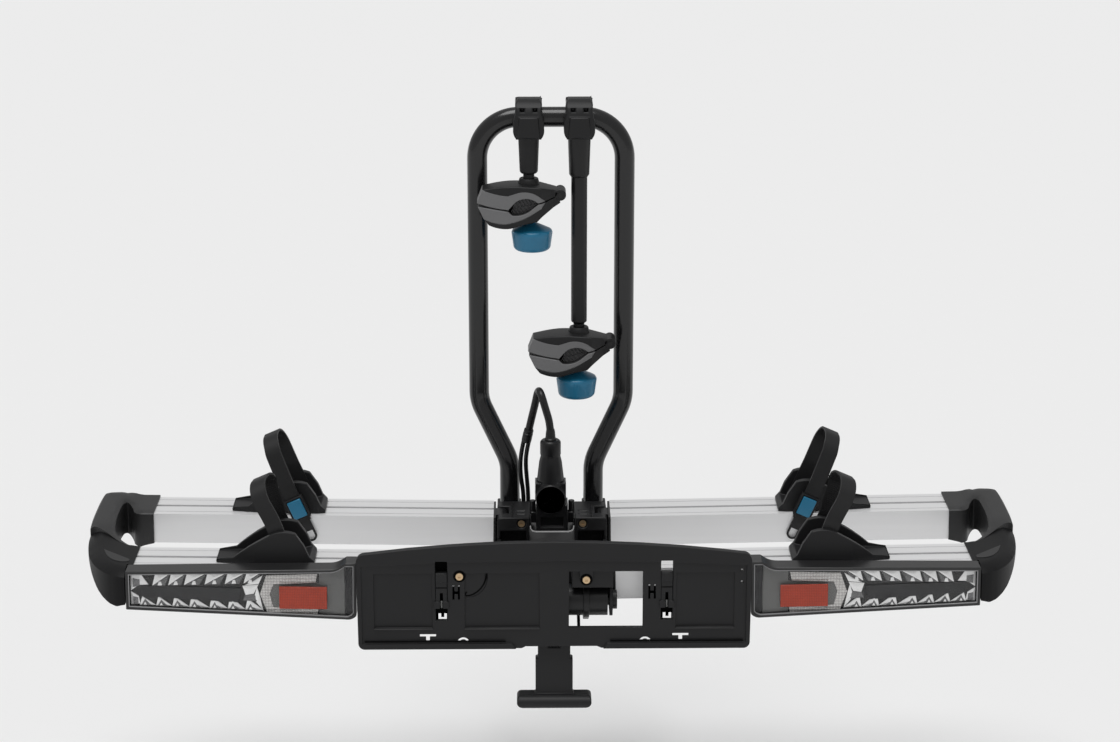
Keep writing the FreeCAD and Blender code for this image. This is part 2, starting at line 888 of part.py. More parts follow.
def platform_screws():
    """Brass-coloured screws in the hinge blocks and in the plate holder."""
    screws = []
    face = "rear_rail - rail_width / 2"
    places = [("44.5", face, "hinge_z", "3"), ("-44.5", face, "hinge_z", "3")]
    places += [("-128", "plate_front + 3", "106", "0"), ("screw_x", "plate_front + 3", "screw_z", "0")]
    for n, (x, y, z, depth) in enumerate(places):
        low = f"{y} + {depth} - 2.5"
        head = rod(f"screw_head_{n}", "5", "y", (low, f"{low} + 2.5"), (x, z))
        shank = rod(f"screw_shank_{n}", "3", "y", (f"{low} + 1", f"{y} + 11" if n < 2 else "plate_back"), (x, z))
        slot = block(f"screw_socket_{n}", (f"{x} - 1.8", f"{x} + 1.8"), (f"{low} - 1", f"{low} + 1.4"), (f"{z} - 1.8", f"{z} + 1.8"))
        screws.append(cut(f"screw_{n}", join(f"screw_solid_{n}", head, shank), slot))
    part("platform_screws", group("platform_screws", *screws))


# Number-plate holder


def plate_holder():
    outline = [
        ("-plate_half + 9", "plate_low"),
        ("-44", "plate_low"),
        ("-39", "plate_low + 2.7"),
        ("58", "plate_low + 2.7"),
        ("64", "plate_low"),
        ("plate_half - 9", "plate_low"),
        ("plate_half - 2.6", "plate_low + 2.6", "arc"),
        ("plate_half", "plate_low + 9"),
        ("plate_half + 1", "plate_edge - 10"),
        ("plate_half - 2.5", "plate_edge - 2", "arc"),
        ("plate_half - 11", "plate_edge + 1.5"),
        ("plate_half / 2", "(plate_crown * 3 + plate_edge) / 4", "arc"),
        ("0", "plate_crown"),
        ("-plate_half / 2", "(plate_crown * 3 + plate_edge) / 4", "arc"),
        ("-plate_half + 11", "plate_edge + 1.5"),
        ("-plate_half + 2.5", "plate_edge - 2", "arc"),
        ("-plate_half - 1", "plate_edge - 10"),
        ("-plate_half", "plate_low + 9"),
        ("-plate_half + 2.6", "plate_low + 2.6", "arc"),
    ]
    sheet = pad("plate_solid", "XZ", outline, ("plate_front", "plate_back"))
    recess = pad(
        "plate_recess",
        "XZ",
        [
            ("-plate_half + plate_rim", "plate_low + 8"),
            ("-57", "plate_low + 8"),
            ("-51", "plate_low - 1"),
            ("66", "plate_low - 1"),
            ("72", "plate_low + 8"),
            ("plate_half - plate_rim", "plate_low + 8"),
            ("plate_half - plate_rim", "window_high + 9"),
            ("0", "window_high + 16", "arc"),
            ("-plate_half + plate_rim", "window_high + 9"),
        ],
        ("plate_front - 1", "plate_front + 3"),
    )
    panels = []
    for n, (left, right) in enumerate((("-244", "-165"), ("-121", "-20"), ("165", "244"))):
        span = ("plate_front", "plate_front + 5.5")
        panels.append(block(f"plate_panel_{n}", (left, right), span, ("window_low", "window_high - 2")))
    through = ("plate_front - 1", "plate_back + 1")
    window = block("plate_window", ("window_left", "window_right"), through, ("window_low", "window_high"))
    thin = ("plate_front + 5.5", "plate_back + 1")
    slots = []
    for n, x in enumerate(("-clip_place", "clip_place")):
        slots.append(block(f"clip_slot_{n}", (f"{x} - clip_half", f"{x} + clip_half"), through, ("clip_low", "clip_high")))
    for n, x in enumerate(("-132.5", "132.5")):
        slots.append(block(f"h_slot_left_{n}", (f"{x} - 5", f"{x} - 2.5"), through, ("72", "93")))
        slots.append(block(f"h_slot_right_{n}", (f"{x} + 2.5", f"{x} + 5"), through, ("72", "93")))
        slots.append(block(f"h_slot_bar_{n}", (f"{x} - 4", f"{x} + 4"), through, ("80", "84")))
        slots.append(block(f"h_relief_{n}", (f"{x} - 8", f"{x} + 8"), thin, ("69", "96")))
    for n, x in enumerate(("-171.5", "171.5")):
        slots.append(block(f"tee_bar_{n}", (f"{x} - 11", f"{x} + 11"), through, ("18.6", "22")))
        slots.append(block(f"tee_post_{n}", (f"{x} - 2.5", f"{x} + 2.5"), through, ("13", "19.5")))
        slots.append(block(f"mark_relief_{n}", (f"{x} * 0.86 - 44", f"{x} * 0.86 + 44"), thin, ("10.5", "27")))
    for n, x in enumerate(("-123.5", "123.5")):
        ring = cut(
            f"arc_ring_{n}",
            rod(f"arc_outer_{n}", "8.6", "y", through, (x, "8.5")),
            rod(f"arc_inner_{n}", "5.6", "y", ("plate_front - 2", "plate_back + 2"), (x, "8.5")),
        )
        slots.append(common(f"arc_slot_{n}", ring, block(f"arc_half_{n}", (f"{x} - 9", f"{x} + 9"), through, ("11", "22"))))
    for n, z in enumerate(("113", "96")):
        slots.append(rod(f"rim_hole_{n}", "2", "y", through, ("plate_half - 12", z)))
    groove = pad(
        "plate_arc_groove",
        "XZ",
        [
            ("-121", "73.5"),
            ("-99.5", "81.5", "arc"),
            ("-90.5", "109"),
            ("-93.5", "109"),
            ("-102.3", "84.4", "arc"),
            ("-121", "76.8"),
        ],
        ("plate_front", "plate_front + 6.5"),
    )
    tab = join(
        "screw_tab",
        block("tab_top", ("screw_x - 8.7", "screw_x + 8.7"), ("plate_front + 3", "plate_back"), ("screw_z", "window_high + 1")),
        rod("tab_end", "8.7", "y", ("plate_front + 3", "plate_back"), ("screw_x", "screw_z")),
    )
    holes = [
        rod("holder_screw_hole", "3", "y", through, ("-128", "106")),
        rod("tab_screw_hole", "3", "y", through, ("screw_x", "screw_z")),
    ]
    flat = cut("plate_open", sheet, recess, *panels, window, *slots, groove)
    part("plate_holder", cut("plate_holder", join("plate_and_tab", flat, tab), *holes))


def plate_clip(side):
    """A clip that slides in the holder's slot and grips the edge of a number plate."""
    x = "clip_place" if side == "right" else "-clip_place"
    face = "plate_front + 3 - gap"
    back = "plate_back + gap"
    pieces = [
        block(side + "_clip_tongue", (f"{x} - clip_half + gap", f"{x} + clip_half - gap"), (f"{face} - 0.5", back), ("60", "111")),
        block(side + "_clip_back", (f"{x} - clip_half - 3", f"{x} + clip_half + 3"), (back, f"{back} + 2"), ("62", "109")),
        block(side + "_clip_hook", (f"{x} - clip_half - 2", f"{x} + clip_half + 2"), (f"{face} - 2", face), ("60", "70")),
        block(side + "_clip_stop", (f"{x} - clip_half + gap", f"{x} + clip_half - gap"), (f"{face} - 2", face), ("98", "110")),
    ]
    slit = block(side + "_clip_slit", (f"{x} - 2", f"{x} + 2"), (f"{face} - 3", f"{back} + 3"), ("59", "82"))
    part(f"{side}_plate_clip", cut(f"{side}_plate_clip", join(f"{side}_clip_solid", *pieces), slit))


# Wings: rails, end cap and lamp, modelled for the right side


def rail(name, row):
    """One extruded rail with a fixing slot along its top, and the hinge lug in its inner end."""
    half = "rail_width / 2"
    low = "rail_top - rail_height"
    outline = [
        (f"{row} - {half}", low),
        (f"{row} + {half}", low),
        (f"{row} + {half}", "rail_top"),
        (f"{row} + groove_offset + groove_width / 2", "rail_top"),
        (f"{row} + groove_offset + groove_width / 2", "rail_top - groove_depth"),
        (f"{row} + groove_offset - groove_width / 2", "rail_top - groove_depth"),
        (f"{row} + groove_offset - groove_width / 2", "rail_top"),
        (f"{row} + slot_mouth / 2", "rail_top"),
        (f"{row} + slot_mouth / 2", "rail_top - slot_lip"),
        (f"{row} + slot_width / 2", "rail_top - slot_lip"),
        (f"{row} + slot_width / 2", "rail_top - slot_depth"),
        (f"{row} - slot_width / 2", "rail_top - slot_depth"),
        (f"{row} - slot_width / 2", "rail_top - slot_lip"),
        (f"{row} - slot_mouth / 2", "rail_top - slot_lip"),
        (f"{row} - slot_mouth / 2", "rail_top"),
        (f"{row} - groove_offset + groove_width / 2", "rail_top"),
        (f"{row} - groove_offset + groove_width / 2", "rail_top - groove_depth"),
        (f"{row} - groove_offset - groove_width / 2", "rail_top - groove_depth"),
        (f"{row} - groove_offset - groove_width / 2", "rail_top"),
        (f"{row} - {half}", "rail_top"),
    ]
    web = "(slot_width / 2 + rail_wall)"
    under = f"{low} + rail_wall"
    holes = [
        rectangle(f"{row} - {half} + rail_wall", f"{row} - {web} - rail_wall", under, "rail_top - rail_wall - groove_depth"),
        rectangle(f"{row} - {web}", f"{row} + {web}", under, "rail_top - slot_depth - rail_wall"),
        rectangle(f"{row} + {web} + rail_wall", f"{row} + {half} - rail_wall", under, "rail_top - rail_wall - groove_depth"),
    ]
    bar = pad(name + "_bar", "YZ", outline, ("lug_start + lug_plate", "rail_reach"), holes)
    flange = block(
        name + "_flange",
        ("lug_start", "lug_start + lug_plate"),
        (f"{row} - {half} + 1", f"{row} + {half} - 1"),
        (low, "rail_top - 1"),
    )
    tongue = pad(
        name + "_tongue",
        "XZ",
        [
            ("hinge_x - hinge_eye", "hinge_z"),
            ("hinge_x", "hinge_z - hinge_eye", "arc"),
            ("hinge_x + hinge_eye", "hinge_z"),
            ("lug_start - 0.6", "hinge_z - 16"),
            ("lug_start + 1", "hinge_z - 18"),
            ("lug_start + 1", "hinge_z + 6.5"),
            ("hinge_x", "hinge_z + hinge_eye"),
            ("hinge_x - 5", "hinge_z + 4.9", "arc"),
        ],
        (f"{row} - hinge_tongue / 2", f"{row} + hinge_tongue / 2"),
    )
    spigot = block(
        name + "_spigot",
        ("lug_start + 1", "lug_start + 26"),
        (f"{row} - {web} + gap", f"{row} + {web} - gap"),
        (f"{under} + gap", "rail_top - slot_depth - rail_wall - gap"),
    )
    bore = rod(name + "_eye_bore", "hinge_pin + play", "y", (f"{row} - 20", f"{row} + 20"), ("hinge_x", "hinge_z"))
    lug = cut(name + "_lug", join(name + "_lug_solid", flange, tongue, spigot), bore)
    return [bar, lug]


def end_cap():
    """The moulded piece that joins the outer ends of both rails and carries on down to the lamp."""
    front = "front_rail - rail_width / 2"
    rear = "rear_rail + rail_width / 2"
    start = "(rail_reach - cap_overlap)"
    outer = "(rail_reach + cap_length)"
    plan = [
        (start, f"{rear} + 2.5"),
        (f"{start} + 48", f"{rear} + 2.5"),
        (f"{outer} - 7", f"{rear} - 4", "arc"),
        (f"{outer} + 1", f"{rear} - 22"),
        (f"{outer} + 5", "(rear_rail + front_rail) / 2 + 10", "arc"),
        (f"{outer} - 3", "front_rail + 24"),
        (f"{outer} - 18", "front_rail - 30", "arc"),
        (f"{start} + 32", "lamp_front + 0.5"),
        (f"{start} + 8", "lamp_front + 0.5"),
        (f"{start} + 8", f"{front} + 0.5"),
        (start, f"{front} + 0.5"),
        (start, "front_rail + rail_width / 2 + 2.5"),
        (f"{start} + 12", "front_rail + rail_width / 2 + 4"),
        (f"{start} + 46", "(rear_rail + front_rail) / 2 - 4", "arc"),
        (f"{start} + 22", "rear_rail - rail_width / 2 - 6"),
        (start, "rear_rail - rail_width / 2 - 2.5"),
    ]
    side = [
        (start, "42"),
        (f"{start} + 20", "40.5"),
        (f"{start} + 48", "54", "arc"),
        (f"{outer} - 6", "82"),
        (f"{outer} + 4", "91", "arc"),
        (f"{outer} + 5", "rail_top"),
        (f"{outer} + 1", "rail_top + 5", "arc"),
        (f"{outer} - 8", "rail_top + 7.5"),
        (f"{start} + 44", "rail_top + 8.5"),
        (f"{start} + 22", "rail_top + 4"),
        (start, "rail_top + 2"),
    ]
    ends = [
        (f"{rear} - 6", "38"),
        (f"{rear} + 0.5", "41", "arc"),
        (f"{rear} + 3", "48"),
        (f"{rear} + 3", "rail_top - 2"),
        (f"{rear} + 0.5", "rail_top + 5.5", "arc"),
        (f"{rear} - 6", "rail_top + 9"),
        ("(rear_rail + front_rail) / 2 - 40", "rail_top + 9"),
        ("front_rail - 20", "rail_top + 3"),
        ("lamp_front + 16", "rail_top"),
        ("lamp_front + 4", "rail_top - 3.5", "arc"),
        ("lamp_front", "rail_top - 13"),
        ("lamp_front", "50"),
        ("lamp_front + 3", "42", "arc"),
        ("lamp_front + 12", "38"),
    ]
    flat = common(
        "cap_form",
        pad("cap_plan", "XY", plan, ("36", "rail_top + 10")),
        pad("cap_side", "XZ", side, ("lamp_front - 5", "rear_rail + rail_width / 2 + 6")),
    )
    body = common("cap_round", flat, pad("cap_ends", "YZ", ends, (f"{start} - 1", f"{outer} + 8")))
    tools = []
    for row in ("rear_rail", "front_rail"):
        half = "rail_width / 2"
        low = "rail_top - rail_height"
        tools.append(block("cap_socket_" + row, (f"{start} - 1", "rail_reach"), (f"{row} - {half}", f"{row} + {half}"), (low, "rail_top")))
    under = [
        ("front_rail + rail_width / 2 + 6", "35"),
        ("rear_rail - rail_width / 2 - 5", "35"),
        ("rear_rail - rail_width / 2 - 8", "54"),
        ("(rear_rail + front_rail) / 2", "70", "arc"),
        ("front_rail + rail_width / 2 + 9", "54"),
    ]
    tools.append(pad("cap_under", "YZ", under, (f"{start} - 1", f"{outer} - 4")))
    return cut("cap_cut", body, *tools)


def lamp_outline(inset):
    """The front outline of a lamp, drawn in by an inset."""
    outer = "(rail_reach - 15)"
    return [
        (f"lamp_inner + {inset}", f"34.5 + {inset}"),
        (f"lamp_inner + 7 + {inset} / 2", f"29.5 + {inset}", "arc"),
        (f"lamp_inner + 14", f"28.8 + {inset}"),
        (f"{outer} - {inset}", f"40.5 + {inset}"),
        (f"{outer} - {inset}", f"95.7 - {inset}"),
        (f"lamp_inner + 38", f"101.6 - {inset}"),
        (f"lamp_inner + 27 + {inset} / 2", f"103.5 - {inset}", "arc"),
        (f"lamp_inner + 15", f"110.8 - {inset}"),
        (f"lamp_inner + {inset}", f"110.8 - {inset}"),
    ]


def lamp():
    """Housing, clear cover and red reflector of the right lamp."""
    back = "front_rail - rail_width / 2"
    housing = cut(
        "lamp_shell",
        pad("lamp_solid", "XZ", lamp_outline("0"), ("lamp_front", back)),
        pad("lamp_hollow", "XZ", lamp_outline("lamp_wall"), ("lamp_front - 1", f"{back} - lamp_wall")),
    )
    cover = pad("lamp_cover", "XZ", lamp_outline("lamp_wall"), ("lamp_front + 1.5", "lamp_front + 4"))
    reflector = block("lamp_reflector", ("309", "374"), ("lamp_front - 1", "lamp_front + 1.5"), ("44.5", "76.5"))
    return housing, cover, reflector


def wings():
    bars = []
    for name, row in (("rear", "rear_rail"), ("front", "front_rail")):
        bars += rail(name, row)
    housing, cover, reflector = lamp()
    pieces = {
        "rails": group("right_rails", *bars),
        "end_cap": end_cap(),
        "lamp_housing": housing,
        "lamp_lens": cover,
        "lamp_reflector": reflector,
    }
    for name, item in pieces.items():
        if name == "lamp_reflector":
            item = group("reflector_group", item)
        rise(item)
        part("right_" + name, item)
        part("left_" + name, mirror("left_" + name, item, Vector(1, 0, 0)))


# Wheel holders, modelled for the right end of the rear rail


def lean(item):
    """Leans a strap piece outwards about the holder's foot, then raises it with the wing."""
    foot = Vector(number("holder_x"), 0, number("rail_top"))
    turn = Rotation(Vector(0, 1, 0), number("strap_lean"))
    tilt = Placement(foot - turn.multVec(foot), turn)
    rise(item)
    item.Placement = item.Placement.multiply(tilt)
    return item


def wheel_tray():
    side = [
        ("329", "rail_top + gap"),
        ("464", "rail_top + gap"),
        ("464", "rail_top + 5"),
        ("440", "rail_top + 9"),
        ("418", "rail_top + 26", "arc"),
        ("400", "rail_top + 37"),
        ("386", "rail_top + 45"),
        ("368", "rail_top + 48", "arc"),
        ("355", "rail_top + 45"),
        ("343", "rail_top + 28"),
        ("336", "rail_top + 12"),
        ("329", "rail_top + 5"),
    ]
    plan = [
        ("328", "rear_rail - tray_half + 3"),
        ("340", "rear_rail - tray_half"),
        ("410", "rear_rail - tray_half"),
        ("465", "rear_rail - tray_half + 9"),
        ("465", "rear_rail + tray_half - 9"),
        ("410", "rear_rail + tray_half"),
        ("340", "rear_rail + tray_half"),
        ("328", "rear_rail + tray_half - 3"),
    ]
    hill = common(
        "tray_hill",
        pad("tray_side", "XZ", side, ("rear_rail - tray_half - 1", "rear_rail + tray_half + 1")),
        pad("tray_plan", "XY", plan, ("rail_top", "rail_top + 60")),
    )
    floor = [
        ("328", "rail_top + 12"),
        ("352", "rail_top + 6"),
        ("402", "rail_top + 5", "arc"),
        ("465", "rail_top + 3.5"),
        ("465", "rail_top + 60"),
        ("328", "rail_top + 60"),
    ]
    channel = pad("tray_channel", "XZ", floor, ("rear_rail - tray_half + 9", "rear_rail + tray_half - 9"))
    pocket = pad(
        "tray_pocket",
        "XZ",
        [("392", "rail_top + 8"), ("440", "rail_top + 8"), ("418", "rail_top + 22", "arc"), ("400", "rail_top + 29")],
        ("rear_rail - tray_half - 1", "rear_rail - tray_half + 3"),
    )
    foot = [
        block("tray_neck", ("374", "416"), ("rear_rail - slot_mouth / 2 + gap", "rear_rail + slot_mouth / 2 - gap"), ("rail_top - slot_lip - 1", "rail_top + 2")),
        block("tray_tee", ("374", "416"), ("rear_rail - slot_width / 2 + gap", "rear_rail + slot_width / 2 - gap"), ("rail_top - slot_depth + gap", "rail_top - slot_lip - gap")),
    ]
    return rise(join("tray_solid", cut("tray_dish", hill, channel, pocket), *foot))


def strap_route():
    """The line of a strap: up from its loop, over the crown and down the far wall, a little nearer the centre."""
    row = number("rear_rail")
    base = number("rail_top")
    x = number("holder_x")
    skew = number("strap_skew")
    near = row - number("tray_half") - 10.5
    far = row + number("tray_half") + number("strap_thick") / 2 + 0.3
    crown = base + 118
    return [
        Vector(x, near, base - 41),
        Vector(x, near, base + 46),
        Vector(x - skew * 0.3, row - 31, crown),
        Vector(x - skew * 0.8, row + 27, crown + 3),
        Vector(x - skew, far, base + 62),
        Vector(x - skew, far, base + 8),
    ]


def strap():
    """The band over the tyre, with ribs near its top and a pull loop at its end."""
    width = number("strap_width")
    thick = number("strap_thick")
    points = strap_route()
    wire = bend_route(points, [40, 26, 24, 40])
    start = points[0]
    x = start.x
    corners = [(-width / 2, -thick / 2), (width / 2, -thick / 2), (width / 2, thick / 2), (-width / 2, thick / 2)]
    loop = [Vector(start.x + a, start.y + b, start.z) for a, b in corners]
    section = Part.makePolygon(loop + loop[:1])
    sweep = Part.BRepOffsetAPI.MakePipeShell(wire)
    sweep.setBiNormalMode(Vector(1, 0, 0))
    sweep.add(section)
    sweep.build()
    sweep.makeSolid()
    band = sweep.shape()
    tail = Part.makeBox(width + 2, 8, 38, Vector(x - width / 2 - 1, start.y - 4, start.z - 1))
    tongue = tail.cut(Part.makeBox(17, 10, 39, Vector(x - 8.5, start.y - 5, start.z - 1)))
    hole = Part.makeBox(11, 10, 16.5, Vector(x - 5.5, start.y - 5, start.z + 4))
    bolt = Part.makeCylinder(7, 2, Vector(points[-1].x, points[-1].y + thick / 2, points[-1].z + 8), Vector(0, 1, 0))
    shape = band.cut(tongue).cut(hole).fuse(bolt).removeSplitter()
    return lean(feature("strap_band", shape))


def buckle():
    """The frame that grips the strap, and the button that lets it go."""
    y = "rear_rail - tray_half - 10.5"
    x = "holder_x"
    frame = block("buckle_box", (f"{x} - 13.5", f"{x} + 13.5"), (f"{y} - 6", f"{y} + 3.5"), ("rail_top - 3", "rail_top + 31"))
    ledge = block("buckle_foot", (f"{x} - 11", f"{x} + 11"), (f"{y} + 3", "rear_rail - tray_half - gap"), ("rail_top + 8", "rail_top + 20"))
    gap = block(
        "buckle_slot",
        (f"{x} - strap_width / 2 - 0.3", f"{x} + strap_width / 2 + 0.3"),
        (f"{y} - strap_thick / 2 - 0.3", f"{y} + strap_thick / 2 + 0.3"),
        ("rail_top - 10", "rail_top + 40"),
    )
    pocket = block("button_pocket", (f"{x} - 10.5", f"{x} + 10.5"), (f"{y} - 7", f"{y} - 1"), ("rail_top", "rail_top + 28"))
    body = cut("buckle_solid", join("buckle_whole", frame, ledge), gap, pocket)
    key = block(
        "button_solid",
        (f"{x} - 10.5 + gap", f"{x} + 10.5 - gap"),
        (f"{y} - 8.5", f"{y} - 1.9 - button_travel"),
        ("rail_top + gap", "rail_top + 28 - gap"),
    )
    return lean(body), lean(group("button_group", key))


def wheel_holders():
    middle = "(rear_rail + front_rail) / 2"
    frame, key = buckle()
    pieces = {"tray": wheel_tray(), "strap": strap(), "buckle": frame, "button": key}
    for name, item in pieces.items():
        part(f"right_rear_{name}", item)
        across = mirror(f"right_front_{name}", item, Vector(0, 1, 0), middle)
        part(f"right_front_{name}", across)
        part(f"left_rear_{name}", mirror(f"left_rear_{name}", item, Vector(1, 0, 0)))
        part(f"left_front_{name}", mirror(f"left_front_{name}", across, Vector(1, 0, 0)))


# Frame arms


def arm_clamp(name, x):
    """The block that grips the hoop's top tube, with its screw cap and front plate."""
    y = "hoop_y"
    z = "hoop_top"
    outline = [
        ("arm_y - 17", f"{z} - 22"),
        ("arm_y + 17", f"{z} - 22"),
        (f"{y} + 6", f"{z} - 20"),
        (f"{y} + 20", f"{z} - 6", "arc"),
        (f"{y} + 17", f"{z} + 14"),
        (f"{y} + 4", f"{z} + 27", "arc"),
        (f"{y} - 12", f"{z} + 31"),
        ("arm_y - 4", f"{z} + 30", "arc"),
        ("arm_y - 14", f"{z} + 22"),
        ("arm_y - 18", f"{z} + 8"),
    ]
    face = [
        (f"{x} - clamp_half + 2.5", f"{z} - 23"),
        (f"{x} + clamp_half - 2.5", f"{z} - 23"),
        (f"{x} + clamp_half + 1", f"{z} - 17", "arc"),
        (f"{x} + clamp_half + 2", f"{z} - 8"),
        (f"{x} + clamp_half + 2", f"{z} + 2"),
        (f"{x} + clamp_half", f"{z} + 8", "arc"),
        (f"{x} + clamp_half - 1", f"{z} + 24"),
        (f"{x} + clamp_half - 2.5", f"{z} + 29.5", "arc"),
        (f"{x} + clamp_half - 7", f"{z} + 32"),
        (f"{x} - clamp_half + 7", f"{z} + 32"),
        (f"{x} - clamp_half + 2.5", f"{z} + 29.5", "arc"),
        (f"{x} - clamp_half + 1", f"{z} + 24"),
        (f"{x} - clamp_half", f"{z} + 8", "arc"),
        (f"{x} - clamp_half - 2", f"{z} + 2"),
        (f"{x} - clamp_half - 2", f"{z} - 8"),
        (f"{x} - clamp_half - 1", f"{z} - 17", "arc"),
    ]
    body = common(
        name + "_form",
        pad(name + "_block", "YZ", outline, (f"{x} - clamp_half - 3", f"{x} + clamp_half + 3")),
        pad(name + "_face", "XZ", face, ("arm_y - 25", f"{y} + 25")),
    )
    wedge = [(f"{x} - 16", f"{z} - 21"), (f"{x} + 16", f"{z} - 21"), (f"{x} + 13.5", f"{z} + 9"), (f"{x} - 13.5", f"{z} + 9")]
    plate = pad(name + "_front", "XZ", wedge, ("arm_y - 21", "arm_y - 10"))
    tools = [rod(name + "_bore", "hoop_radius + play", "x", (f"{x} - 25", f"{x} + 25"), (y, z))]
    edge = "hoop_half - hoop_bend"
    tools.append(rod(name + "_relief_a", "hoop_radius + 3.6", "x", (edge, f"{edge} + 20"), (y, z)))
    tools.append(rod(name + "_relief_b", "hoop_radius + 3.6", "x", (f"-({edge}) - 20", f"-({edge})"), (y, z)))
    for n, offset in enumerate(("-9", "9")):
        span = (f"{z} + 16", f"{z} + 22")
        tools.append(block(f"{name}_pocket_{n}", (f"{x} + {offset} - 3", f"{x} + {offset} + 3"), ("arm_y - 19", "arm_y - 8"), span))
    return cut(name, join(name + "_solid", body, plate), *tools)


def arms():
    part("short_arm_clamp", arm_clamp("short_arm_clamp", "short_arm"))
    part("long_arm_clamp", arm_clamp("long_arm_clamp", "long_arm"))
    low = "hoop_top - 22"
    sleeve = join(
        "short_arm_solid",
        cone("short_sleeve", ("13", "15"), "z", ("hoop_top - 72", low), ("short_arm", "arm_y")),
        cone("short_sleeve_end", ("11", "13"), "z", ("hoop_top - 74.5", "hoop_top - 72"), ("short_arm", "arm_y")),
        rod("short_neck", "8", "z", ("short_jaw_z + 28", "hoop_top - 74.5"), ("short_arm", "arm_y")),
    )
    part("short_arm_rod", sleeve)
    tube = join(
        "long_arm_solid",
        cone("long_sleeve", ("14.5", "16.3"), "z", ("hoop_top - 76", low), ("long_arm", "arm_y")),
        cone("long_sleeve_end", ("12.5", "14.5"), "z", ("hoop_top - 79", "hoop_top - 76"), ("long_arm", "arm_y")),
        rod("long_rod", "long_tube", "z", ("long_jaw_z + 42", "hoop_top - 79"), ("long_arm", "arm_y")),
        cone("long_rod_end", ("8", "long_tube"), "z", ("long_jaw_z + 39.5", "long_jaw_z + 42"), ("long_arm", "arm_y")),
        rod("long_neck", "8", "z", ("long_jaw_z + 28", "long_jaw_z + 39.5"), ("long_arm", "arm_y")),
    )
    part("long_arm_tube", tube)


def at_jaw(points, x, z):
    """Jaw outline points moved to their arm."""
    moved = []
    for entry in points:
        moved.append((f"{x} + ({entry[0]})", f"{z} + ({entry[1]})") + tuple(entry[2:]))
    return moved


UPPER_SHELL = [
    (-66.4, 21.8),
    (-57, 23.5),
    (-36, 26.5, "arc"),
    (-15, 27.2),
    (16, 25.2),
    (42, 18),
    (39, 10.8),
    (24, 5.6),
    (17.6, 10.5),
    (-4, 19.5, "arc"),
    (-20, 17),
    (-30, 13.8),
    (-48, 16, "arc"),
]
UPPER_PAD = [
    (-74.2, 2),
    (-66.4, 21.8),
    (-48, 16, "arc"),
    (-30, 13.8),
    (-20, 17),
    (-4, 19.5, "arc"),
    (17.6, 10.5),
    (24, 5.6),
    (12.6, 3),
    (-5, 9.4, "arc"),
    (-20, 3.5),
    (-29, -6.6),
    (-45, -5.2, "arc"),
]
LOWER_SHELL = [
    (-63.9, -21.8),
    (-57, -30),
    (-38.7, -34.6, "arc"),
    (-22, -33.2),
    (-5, -28),
    (11.6, -24.5),
    (18.3, -17.5),
    (45, 1),
    (39, 9),
    (24, 3.4),
    (18, -4.6),
    (4.9, -14),
    (-14, -23, "arc"),
    (-33.7, -28),
    (-50, -26.5, "arc"),
]
LOWER_PAD = [
    (-73, -3),
    (-63.9, -21.8),
    (-50, -26.5, "arc"),
    (-33.7, -28),
    (-14, -23, "arc"),
    (4.9, -14),
    (18, -4.6),
    (24, 3.4),
    (12.6, 0.8),
    (4.9, -5.2),
    (-8, -13, "arc"),
    (-23.6, -14.5),
    (-29, -9.2),
    (-45, -7, "arc"),
]


